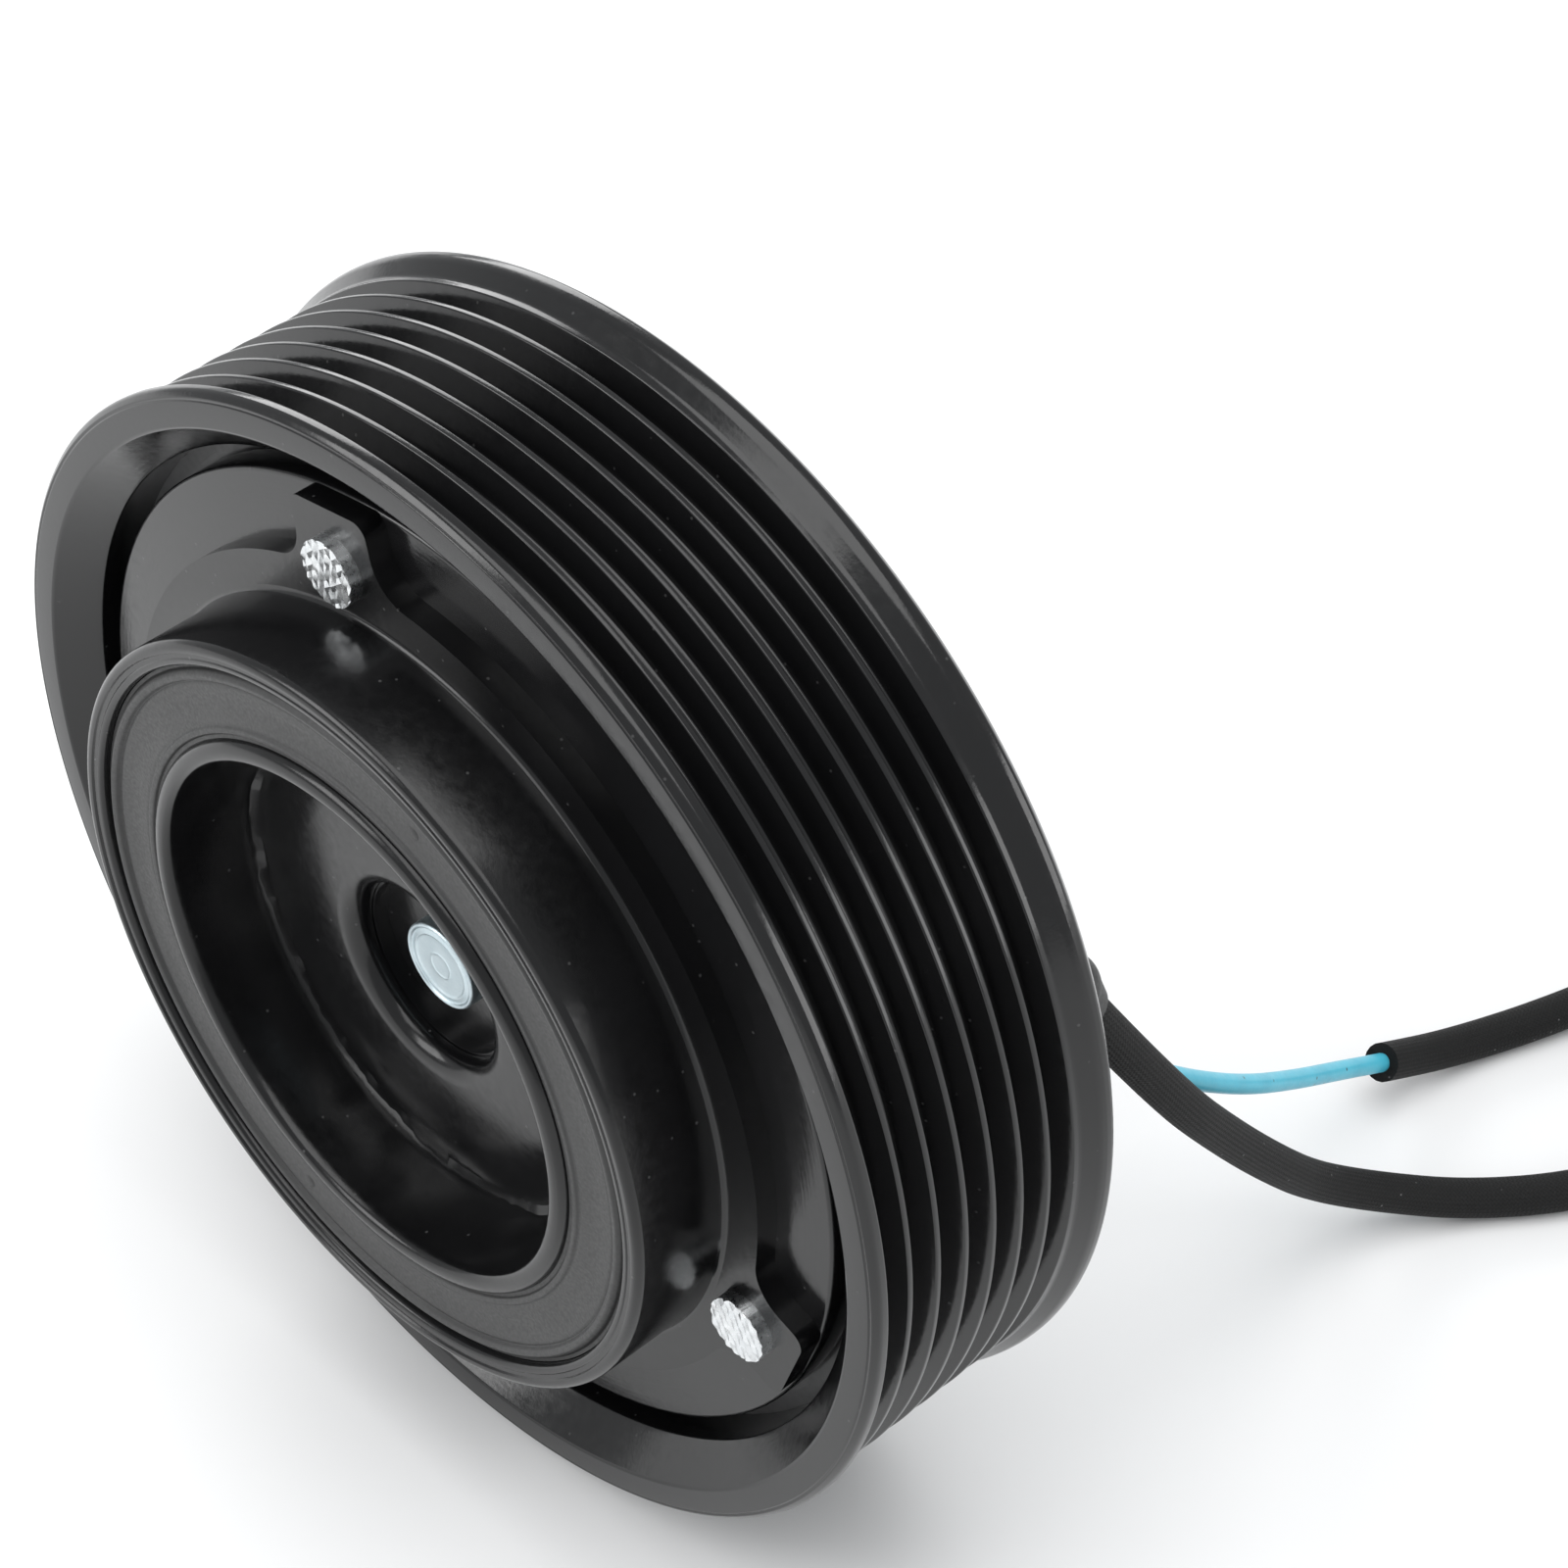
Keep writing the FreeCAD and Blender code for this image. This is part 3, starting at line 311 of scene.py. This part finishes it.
def round_cord(name, kind, points, radius):
    """A curve object with a round section and closed ends, through or along points in metres."""
    line = bpy.data.curves.new(name, "CURVE")
    line.dimensions = "3D"
    spline = line.splines.new(kind)
    spline.points.add(len(points) - 1)
    for point, place in zip(spline.points, points):
        point.co = (*place, 1)
    if kind == "NURBS":
        spline.order_u = 3
        spline.use_endpoint_u = True
        spline.resolution_u = 16
    line.bevel_depth = radius
    line.bevel_resolution = 7
    line.use_fill_caps = True
    cord = bpy.data.objects.new(name, line)
    bpy.context.scene.collection.objects.link(cord)
    return cord


def points_along(cord, start, end, spacing):
    """Evenly spaced points on the cord's own smooth line, between two lengths along it."""
    bare = cord.copy()
    bare.data = cord.data.copy()
    bare.data.bevel_depth = 0
    line = [vert.co.copy() for vert in bpy.data.meshes.new_from_object(bare).vertices]
    count = round((end - start) / spacing)
    wanted = [start + (end - start) * step / count for step in range(count + 1)]
    found = []
    done = 0.0
    for before, after in zip(line, line[1:]):
        run = (after - before).length
        while wanted and wanted[0] <= done + run:
            found.append(before.lerp(after, max(0.0, (wanted.pop(0) - done) / run)))
        done += run
    return found


# %% Wires, sleeves and connectors
WIRE_RADIUS = 1.1 * MM
SLEEVE_RADIUS = 2.25 * MM
SLEEVE_END_GAP = 5.0
SPACING = 0.5 * MM
for letter, route, length, bare in (("a", LEAD_A, 124.9, 0.0), ("b", LEAD_B, 121.2, 83.0)):
    path = [Vector(place) * MM for place in route]
    wire = round_cord(f"lead_{letter}_conductor", "NURBS", path, WIRE_RADIUS)
    wire.data.materials.append(wire_insulation)
    covered = points_along(wire, bare * MM, (length - SLEEVE_END_GAP) * MM, SPACING)
    sleeve = round_cord(f"lead_{letter}_braid", "POLY", covered, SLEEVE_RADIUS)
    crossings = STRANDS * len(covered) * SPACING / (2 * math.pi * SLEEVE_RADIUS)
    sleeve.data.materials.append(woven(f"woven_sleeve_{letter}", STRANDS, round(crossings)))
    roles = ((wire, "wire_insulation", "wire"), (sleeve, "woven_sleeve", "sleeve"))
    for piece, slot_name, node_name in roles:
        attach(piece, "field_coil")
        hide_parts(f"lead_{letter}_{node_name}")
    print("lead", letter, "is", length, "mm long and", bare, "mm of it is bare")

# %% [markdown]
# ## Turned pieces
# The rim, the cup, the collar, the damper and the bolt are all bodies of revolution. Each is drawn as half of
# its section: one vertex is extruded from corner to corner, corners are rounded by a vertex bevel, and the
# section is spun once round the Y axis. A lathe makes the real ones in the same way.


# %% Helpers for turned pieces
def select_only(piece):
    bpy.ops.object.select_all(action="DESELECT")
    piece.select_set(True)
    bpy.context.view_layer.objects.active = piece


def pick(piece, kind, wanted):
    """In edit mode, select the vertices, edges or faces whose middle passes a test."""
    bpy.ops.mesh.select_mode(type=kind)
    bpy.ops.mesh.select_all(action="DESELECT")
    mesh = bmesh.from_edit_mesh(piece.data)
    if kind == "VERT":
        chosen = [vert for vert in mesh.verts if wanted(vert.co)]
    elif kind == "EDGE":
        chosen = [edge for edge in mesh.edges if wanted((edge.verts[0].co + edge.verts[1].co) / 2)]
    else:
        chosen = [face for face in mesh.faces if wanted(face.calc_center_median())]
    for item in chosen:
        item.select_set(True)
    bmesh.update_edit_mesh(piece.data)
    return len(chosen)


def draw_section(name, corners):
    """Corners are (radius, station) or (radius, station, rounding), in millimetres. Left in edit mode."""
    bpy.ops.object.select_all(action="DESELECT")
    bpy.ops.mesh.primitive_plane_add(size=MM)
    piece = bpy.context.object
    piece.name = piece.data.name = name
    bpy.ops.object.mode_set(mode="EDIT")
    bpy.ops.mesh.select_mode(type="VERT")
    bpy.ops.mesh.select_all(action="SELECT")
    bpy.ops.mesh.merge(type="CENTER")
    here = Vector((0, 0, 0))
    for index, corner in enumerate(corners):
        there = Vector((corner[0] * MM, corner[1] * MM, 0))
        if index == 0:
            bpy.ops.transform.translate(value=there)
        else:
            bpy.ops.mesh.extrude_region_move(TRANSFORM_OT_translate={"value": there - here})
        here = there
    for size in sorted({corner[2] for corner in corners if len(corner) > 2}):
        spots = [Vector((c[0] * MM, c[1] * MM, 0)) for c in corners if len(c) > 2 and c[2] == size]
        pick(piece, "VERT", lambda place: any((place - spot).length < 0.002 * MM for spot in spots))
        bpy.ops.mesh.bevel(offset=size * MM, segments=5, affect="VERTICES")
    return piece


def spin_section(piece, steps):
    """The section becomes a closed body of revolution about Y. Back in object mode."""
    bpy.ops.mesh.select_all(action="SELECT")
    bpy.ops.mesh.spin(steps=steps, angle=2 * math.pi, center=(0, 0, 0), axis=(0, 1, 0))
    bpy.ops.mesh.select_all(action="SELECT")
    bpy.ops.mesh.remove_doubles(threshold=0.004 * MM)
    bpy.ops.mesh.normals_make_consistent(inside=False)
    bpy.ops.object.mode_set(mode="OBJECT")
    return piece


def closed(corners):
    return corners + [corners[0][:2]]


def finish_piece(piece, material, body, slot_name, *nodes, angle=32):
    """Smooth shading up to an angle, the finish, and the body that the piece moves with."""
    select_only(piece)
    bpy.ops.object.shade_smooth_by_angle(angle=math.radians(angle))
    piece.data.materials.clear()
    piece.data.materials.append(material)
    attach(piece, body)
    if nodes:
        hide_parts(*nodes)
    print(piece.name, len(piece.data.polygons), "faces")
    return piece


# %% [markdown]
# ## Pulley rim
# Seven V grooves run round the belt track. The flanks lean 20 degrees from the radius, and the ridges
# between them are thin and rounded. The front lip has a rounded shoulder, a fine step, a flat face and a
# cone that leads in to the bore. The rear lip rises on a ramp, which keeps the belt off the housing.

# %% Pulley rim
GROOVE_PITCH = 3.56
GROOVE_COUNT = 7
FIRST_GROOVE = -18.07
CREST = 61.6
ROOT = 58.8
HALF_MOUTH = 1.50
HALF_FLOOR = 0.48
rim_section = [
    (55.2, 9.0), (55.2, -17.75, 0.15), (55.55, -18.15, 0.1), (58.55, -21.4, 0.12), (58.8, -21.5, 0.05),
    (61.35, -21.5, 0.05), (61.5, -21.38, 0.04), (61.75, -21.45, 0.1), (62.4, -20.9, 0.35),
]
for groove in range(GROOVE_COUNT):
    middle = FIRST_GROOVE + groove * GROOVE_PITCH
    # the first flank runs up to the front lip, the others up to the ridge before them
    rim_section.append((62.4, middle - 1.79, 0.2) if groove == 0 else (CREST, middle - HALF_MOUTH, 0.13))
    rim_section += [(ROOT, middle - HALF_FLOOR, 0.22), (ROOT, middle + HALF_FLOOR, 0.22)]
    rim_section.append((CREST, middle + HALF_MOUTH, 0.13))
rim_section += [
    (CREST, 5.6, 0.3), (62.75, 7.25, 0.3), (62.9, 7.9, 0.1), (62.9, 8.7, 0.3), (62.0, 9.6, 0.3), (55.8, 9.6),
]
rim = spin_section(draw_section("grooved_rim", closed(rim_section)), 240)
finish_piece(rim, pulley_coat, "pulley", "pulley_coat", "pulley_rim", angle=24)

# %% [markdown]
# ## Armature plate
# A flat steel ring faces the rotor across the air gap. Its edges are broken by stamping and coat.

# %% Armature plate
armature = spin_section(draw_section("armature_ring", closed([
    (33.0, -17.6), (52.9, -17.6, 0.5), (52.9, -13.6, 0.3), (33.0, -13.6),
])), 180)
finish_piece(armature, armature_coat, "armature", "armature_coat", "armature_plate")

# %% [markdown]
# ## Collar and eared flange
# The collar is pressed from sheet, with a flange that carries three ears, one for each rivet. The upright
# part is round, but the flange is not, so the spin tool does not fit. The flange's outline is drawn from
# arcs and lines: the rim, a hollow fillet at each ear's root and the ear's square end with its two
# corners. That ring is extruded to the sheet's thickness, and then again and again, each time on to the
# next circle of the collar's section. The last ring runs back out to the outline and closes the sheet.

# %% Collar: the outline of the flange
RIVET_ANGLES = (-18.25, 101.75, 221.75)
RIVET_CIRCLE = 46.4
FLANGE = 45.6
EAR_TIP = 52.7
EAR_HALF = 5.6
EAR_CORNER = 1.6
EAR_FILLET = 4.5
RIM_STEPS = 70


def turn_round(centre, radius, first, last, steps):
    """Points on an arc in the flange's plane, as (x, z)."""
    turns = [math.radians(first + (last - first) * step / steps) for step in range(steps + 1)]
    return [(centre[0] + radius * math.cos(turn), centre[1] + radius * math.sin(turn)) for turn in turns]


def ear_outline(angle):
    """Points of a square-ended ear and its two root fillets, in order of angle, as (x, z)."""
    side = EAR_HALF + EAR_FILLET
    out = math.sqrt((FLANGE + EAR_FILLET) ** 2 - side**2)
    to_axis = math.degrees(math.atan2(side, -out))
    half = turn_round((out, -side), EAR_FILLET, to_axis, 90, 10)
    half += turn_round((EAR_TIP - EAR_CORNER, EAR_CORNER - EAR_HALF), EAR_CORNER, -90, 0, 6)
    half += [(EAR_TIP, z) for z in (-3.0, -2.0, -1.0)]
    points = half + [(EAR_TIP, 0)] + [(x, -z) for x, z in reversed(half)]
    cosine, sine = math.cos(math.radians(angle)), math.sin(math.radians(angle))
    return [(x * cosine - z * sine, x * sine + z * cosine) for x, z in points]


flange_outline = []
for angle in RIVET_ANGLES:
    ear = ear_outline(angle)
    flange_outline += ear
    leave = math.degrees(math.atan2(ear[-1][1], ear[-1][0]))
    # the rim runs on evenly to the next ear, and the middle of that run is 60 degrees past this ear's
    gap = 2 * (angle + 60 - leave) % 360
    for step in range(1, RIM_STEPS):
        phase = math.radians(leave + gap * step / RIM_STEPS)
        flange_outline.append((FLANGE * math.cos(phase), FLANGE * math.sin(phase)))
print("flange outline:", len(flange_outline), "points")

# %% Collar: the outline grows into the collar, ring by ring
FLANGE_FRONT = -20.1
FLANGE_BACK = -17.6


def arc(across, along, radius, first, last, steps):
    """Section points on an arc. The angle is counted from outwards towards the back, in degrees."""
    turns = [math.radians(first + (last - first) * step / steps) for step in range(steps + 1)]
    return [(across + radius * math.cos(turn), along + radius * math.sin(turn)) for turn in turns]


collar_section = (
    arc(41.9, -20.8, 0.7, 90, 180, 5)
    + arc(40.35, -29.95, 0.85, 0, -90, 6)
    + [(40.05, -30.74), (39.92, -30.55), (39.45, -30.52), (39.3, -30.62), (38.95, -30.62), (38.75, -30.5)]
    + [(38.6, -30.25), (38.6, FLANGE_BACK)]
)
bpy.ops.object.select_all(action="DESELECT")
bpy.ops.mesh.primitive_circle_add(vertices=len(flange_outline), radius=FLANGE * MM)
collar = bpy.context.object
collar.name = collar.data.name = "eared_collar"
for vert, (x, z) in zip(collar.data.vertices, flange_outline):
    vert.co = (x * MM, FLANGE_BACK * MM, z * MM)
bpy.ops.object.mode_set(mode="EDIT")
bpy.ops.mesh.select_mode(type="VERT")
bpy.ops.mesh.select_all(action="SELECT")
bpy.ops.mesh.extrude_region_move(TRANSFORM_OT_translate={"value": (0, (FLANGE_FRONT - FLANGE_BACK) * MM, 0)})
for reach, station in collar_section:
    bpy.ops.mesh.extrude_region_move(TRANSFORM_OT_translate={"value": (0, 0, 0)})
    mesh = bmesh.from_edit_mesh(collar.data)
    for vert in mesh.verts:
        if vert.select:
            outwards = Vector((vert.co.x, 0, vert.co.z)).normalized()
            vert.co = outwards * reach * MM + Vector((0, station * MM, 0))
    bmesh.update_edit_mesh(collar.data)
# the back face: one more ring runs out to the outline, point by point, and is welded to it
bpy.ops.mesh.extrude_region_move(TRANSFORM_OT_translate={"value": (0, 0, 0)})
mesh = bmesh.from_edit_mesh(collar.data)
for vert in mesh.verts:
    if vert.select:
        outwards = Vector((vert.co.x, vert.co.z)).normalized()
        x, z = max(flange_outline, key=lambda corner: Vector(corner).normalized().dot(outwards))
        vert.co = Vector((x, FLANGE_BACK, z)) * MM
bmesh.update_edit_mesh(collar.data)
bpy.ops.mesh.select_all(action="SELECT")
bpy.ops.mesh.remove_doubles(threshold=0.002 * MM)
bpy.ops.mesh.normals_make_consistent(inside=False)
pick(collar, "VERT", lambda place: abs(place.y / MM - FLANGE_FRONT) < 0.01
     and math.hypot(place.x, place.z) / MM > 45.5)
bpy.ops.mesh.select_mode(type="EDGE")
bpy.ops.mesh.bevel(offset=0.45 * MM, segments=4, affect="EDGES")
bpy.ops.object.mode_set(mode="OBJECT")
finish_piece(collar, hub_coat, "armature", "hub_coat", "outer_collar")

# %% [markdown]
# ## Rivets
# Three rivets hold the ears to the armature plate. The setting tool leaves a waffle of small facets on each
# head. One head is modelled at the origin: a grid with peaks, two cells apart, is given a body downwards,
# and a round blank with a soft edge is intersected with it, so the facets run out at the edge as they do
# on a real head. Three copies, each turned its own way, are set on the ears.

# %% Rivet: the waffle block
CELL = 0.6
CELLS = 16
PEAK = 0.22
UNEVEN = 0.05
random.seed(7)
bpy.ops.object.select_all(action="DESELECT")
bpy.ops.mesh.primitive_grid_add(x_subdivisions=CELLS, y_subdivisions=CELLS, size=CELLS * CELL * MM)
waffle = bpy.context.object
waffle.name = waffle.data.name = "waffle_block"
bpy.ops.object.mode_set(mode="EDIT")
bpy.ops.mesh.quads_convert_to_tris(quad_method="BEAUTY", ngon_method="BEAUTY")
pick(waffle, "VERT", lambda place: all(round(reach / MM / CELL) % 2 == 0 for reach in place.xy))
bpy.ops.transform.translate(value=(0, 0, PEAK * MM))
mesh = bmesh.from_edit_mesh(waffle.data)
for vert in mesh.verts:
    vert.co += Vector([random.uniform(-UNEVEN, UNEVEN) * MM for _ in range(3)])
bmesh.update_edit_mesh(waffle.data)
bpy.ops.mesh.select_all(action="SELECT")
bpy.ops.mesh.extrude_region_move(TRANSFORM_OT_translate={"value": (0, 0, -2.5 * MM)})
bpy.ops.transform.resize(value=(1, 1, 0))
bpy.ops.mesh.select_all(action="SELECT")
bpy.ops.mesh.normals_make_consistent(inside=False)
bpy.ops.object.mode_set(mode="OBJECT")
print("waffle block:", len(waffle.data.polygons), "faces")

# %% Rivet: the round blank and the three heads
HEAD_HEIGHT = 1.6
HEAD_TURNS = (20, 52, 74)
bpy.ops.object.select_all(action="DESELECT")
bpy.ops.mesh.primitive_cylinder_add(vertices=64, radius=3.5 * MM, depth=1.9 * MM, location=(0, 0, -0.75 * MM))
head = bpy.context.object
head.name = head.data.name = "rivet_blank"
bpy.ops.object.transform_apply(location=True, rotation=True, scale=True)
bpy.ops.object.mode_set(mode="EDIT")
pick(head, "FACE", lambda place: place.z > 0.1 * MM)
bpy.ops.mesh.inset(thickness=0.3 * MM)
bpy.ops.transform.translate(value=(0, 0, 0.18 * MM))
pick(head, "EDGE", lambda place: place.z > 0.15 * MM and math.hypot(place.x, place.y) > 3.3 * MM)
bpy.ops.mesh.bevel(offset=0.15 * MM, segments=3, affect="EDGES")
bpy.ops.object.mode_set(mode="OBJECT")
trim = head.modifiers.new("Waffle", "BOOLEAN")
trim.operation = "INTERSECT"
trim.solver = "EXACT"
trim.object = waffle
bpy.ops.object.modifier_apply(modifier=trim.name)
bpy.data.objects.remove(waffle)
# the head's top now faces +Z: it is laid down to face the front
top = max(vert.co.z for vert in head.data.vertices)
select_only(head)
head.location = (0, (FLANGE_FRONT - HEAD_HEIGHT) * MM + top, 0)
head.rotation_euler = (math.pi / 2, 0, 0)
rivets = []
for number, angle in enumerate(RIVET_ANGLES):
    select_only(head)
    bpy.ops.object.duplicate()
    rivet = bpy.context.object
    rivet.location.x = RIVET_CIRCLE * math.cos(math.radians(angle)) * MM
    rivet.location.z = RIVET_CIRCLE * math.sin(math.radians(angle)) * MM
    rivet.rotation_euler = (math.pi / 2, math.radians(HEAD_TURNS[number]), 0)
    bpy.ops.object.transform_apply(location=True, rotation=True, scale=True)
    rivets.append(rivet)
bpy.data.objects.remove(head)
select_only(rivets[0])
for rivet in rivets:
    rivet.select_set(True)
bpy.ops.object.join()
heads = bpy.context.object
heads.name = heads.data.name = "knurled_rivets"
finish_piece(heads, rivet_zinc, "armature", "rivet_zinc", "collar_rivets", angle=20)

# %% [markdown]
# ## Inner cup
# The cup is drawn from sheet steel. Its mouth is rolled round, its wall narrows a little towards the floor,
# and the floor is domed towards the front round the recess for the bolt. Where wall and floor meet, a thin
# and ragged strip of coat stays behind, which catches the light.

# %% Inner cup
cup = spin_section(draw_section("hub_cup", closed([
    (10.0, -19.6), (10.0, -22.0, 1.9), (14.5, -22.0, 2.0), (19.5, -21.75, 1.0), (24.6, -20.75, 1.0),
    (26.55, -20.42), (27.3, -20.75), (27.55, -21.3), (27.6, -22.0), (28.15, -29.7, 0.5), (28.45, -30.55, 0.4),
    (29.25, -30.8, 0.4), (30.2, -30.55, 0.35), (30.6, -29.9, 0.3), (30.6, -20.9, 1.0), (27.5, -17.95, 1.0),
    (14.5, -19.5, 0.5),
])), 240)
print("cup:", len(cup.data.vertices), "points")
bpy.ops.object.mode_set(mode="EDIT")
mesh = bmesh.from_edit_mesh(cup.data)
for vert in mesh.verts:
    reach = math.hypot(vert.co.x, vert.co.z)
    station = vert.co.y / MM
    if 26.4 * MM < reach < 27.7 * MM and -21.9 < station < -20.3:
        ragged = noise.noise(vert.co * 260) + 0.6 * noise.noise(vert.co * 900)
        vert.co.y -= ragged * 0.35 * MM
        shift = 1 + ragged * 0.006
        vert.co.x *= shift
        vert.co.z *= shift
bmesh.update_edit_mesh(cup.data)
bpy.ops.object.mode_set(mode="OBJECT")
finish_piece(cup, hub_coat, "hub", "hub_coat", "inner_cup")

# %% [markdown]
# ## Rubber damper
# The rubber is moulded between cup and collar. Its face is dished, with a raised bead and two fine grooves
# at each border, and the mould leaves two small pips opposite each other.

# %% Rubber damper
damper = spin_section(draw_section("rubber_ring", closed([
    (30.6, -29.75), (31.0, -29.65, 0.1), (31.2, -30.0, 0.12), (31.75, -30.05, 0.15), (32.0, -29.75, 0.12),
    (32.4, -29.8, 0.1), (34.4, -29.55, 0.8), (36.4, -29.8, 0.2), (36.7, -29.65, 0.1), (36.95, -30.15, 0.15),
    (37.5, -30.3, 0.15), (37.9, -29.95, 0.15), (38.1, -29.6, 0.1), (38.5, -29.6), (38.5, -22.4),
    (34.5, -23.2), (30.6, -22.4),
])), 240)
PIP_CIRCLE = 34.6
PIP_STATION = -29.45
pips = []
for angle in (71, -109):
    turn = math.radians(angle)
    place = Vector((PIP_CIRCLE * math.cos(turn), PIP_STATION, PIP_CIRCLE * math.sin(turn))) * MM
    bpy.ops.object.select_all(action="DESELECT")
    bpy.ops.mesh.primitive_uv_sphere_add(segments=24, ring_count=12, radius=0.85 * MM, location=place)
    pip = bpy.context.object
    pip.scale.y = 0.45
    bpy.ops.object.transform_apply(location=True, rotation=True, scale=True)
    pips.append(pip)
select_only(damper)
for pip in pips:
    pip.select_set(True)
bpy.ops.object.join()
finish_piece(damper, damper_rubber, "hub", "damper_rubber", "rubber_damper")

# %% [markdown]
# ## Centre bolt
# The bolt's head is low and round, zinc plated with a cold tint. Its face has a raised border and two
# faint rings from the heading die.

# %% Centre bolt
bolt = spin_section(draw_section("round_bolt", [
    (0, -19.28), (1.25, -19.28, 0.1), (1.4, -19.34, 0.05), (1.6, -19.28, 0.05), (3.45, -19.28, 0.1),
    (3.65, -19.42, 0.08), (3.9, -19.34, 0.08), (4.25, -19.24, 0.1), (4.45, -19.48, 0.08), (4.68, -19.5, 0.08),
    (4.85, -19.3, 0.1), (4.85, -17.8), (2.95, -17.8), (2.95, -10.9), (2.4, -10.4), (0, -10.4),
]), 128)
finish_piece(bolt, bolt_zinc, "hub", "bolt_zinc", "centre_bolt", angle=40)

# %% [markdown]
# ## CAD pieces that keep their shape
# The bearing, the coil, the snap rings, the splined boss, the connectors and the grommet are right as they
# are. Each takes its finish by the slot that the record gives it.

# %% Finishes for the CAD pieces
finishes = {
    "coil_coat": coil_coat, "bobbin_plastic": bobbin_plastic, "copper_winding": copper_winding,
    "potting_resin": potting_resin, "zinc_plate": zinc_plate, "spring_steel": spring_steel,
    "bearing_steel": bearing_steel, "cage_plastic": cage_plastic, "seal_rubber": seal_rubber,
    "grommet_rubber": grommet_rubber, "connector_plastic": connector_plastic,
    "tinned_terminal": tinned_terminal, "rotor_coat": rotor_coat, "hub_coat": hub_coat,
    "shim_steel": shim_steel,
}
for part in frame["record"]["subparts"]:
    shown = frame["nodes"][part["node"]]
    if part["material_slot"] in finishes and not shown.hide_render:
        shown.data.materials.clear()
        shown.data.materials.append(finishes[part["material_slot"]])
        print(part["node"], "takes", part["material_slot"])

# %% [markdown]
# ## Floor and light
# The floor is pale and plain, and the world is an even soft white, as in a studio tent. Glossy black shows
# little but what it mirrors, so four large soft lamps round it shape the highlights.

# %% Floor
bpy.ops.object.select_all(action="DESELECT")
bpy.ops.mesh.primitive_plane_add(size=4, location=(0, 0, FLOOR))
floor = bpy.context.object
floor.name = "floor"
paper, tree, shader, point = new_material("floor_paper")
shader.inputs["Roughness"].default_value = 0.9
shades = blend_colours(tree, cloud(tree, point, 300), grey(0.86), grey(0.90))
tree.links.new(shades, shader.inputs["Base Color"])
floor.data.materials.append(paper)

# %% Lamps and the world
world = bpy.data.worlds.new("studio")
bpy.context.scene.world = world
world.use_nodes = True
world.node_tree.nodes["Background"].inputs["Color"].default_value = (0.96, 0.98, 1, 1)
world.node_tree.nodes["Background"].inputs["Strength"].default_value = 0.6
bpy.context.scene.view_settings.view_transform = "Standard"


def soft_lamp(name, place, size, power):
    """A square lamp at a place in metres, aimed at the middle of the clutch, with its power in watts."""
    bpy.ops.object.select_all(action="DESELECT")
    bpy.ops.object.light_add(type="AREA", location=place)
    lamp = bpy.context.object
    lamp.name = name
    lamp.data.shape = "SQUARE"
    lamp.data.size = size
    lamp.data.energy = power
    lamp.rotation_euler = (-Vector(place)).to_track_quat("-Z", "Y").to_euler()


soft_lamp("overhead_lamp", (0.1, -0.1, 1.2), 1.2, 11)
soft_lamp("front_lamp", (-0.7, -0.9, 0.7), 0.7, 7)
soft_lamp("back_left_lamp", (-1.0, 0.65, 0.45), 0.6, 5)
soft_lamp("back_right_lamp", (1.15, 0.68, 0.28), 0.6, 4)
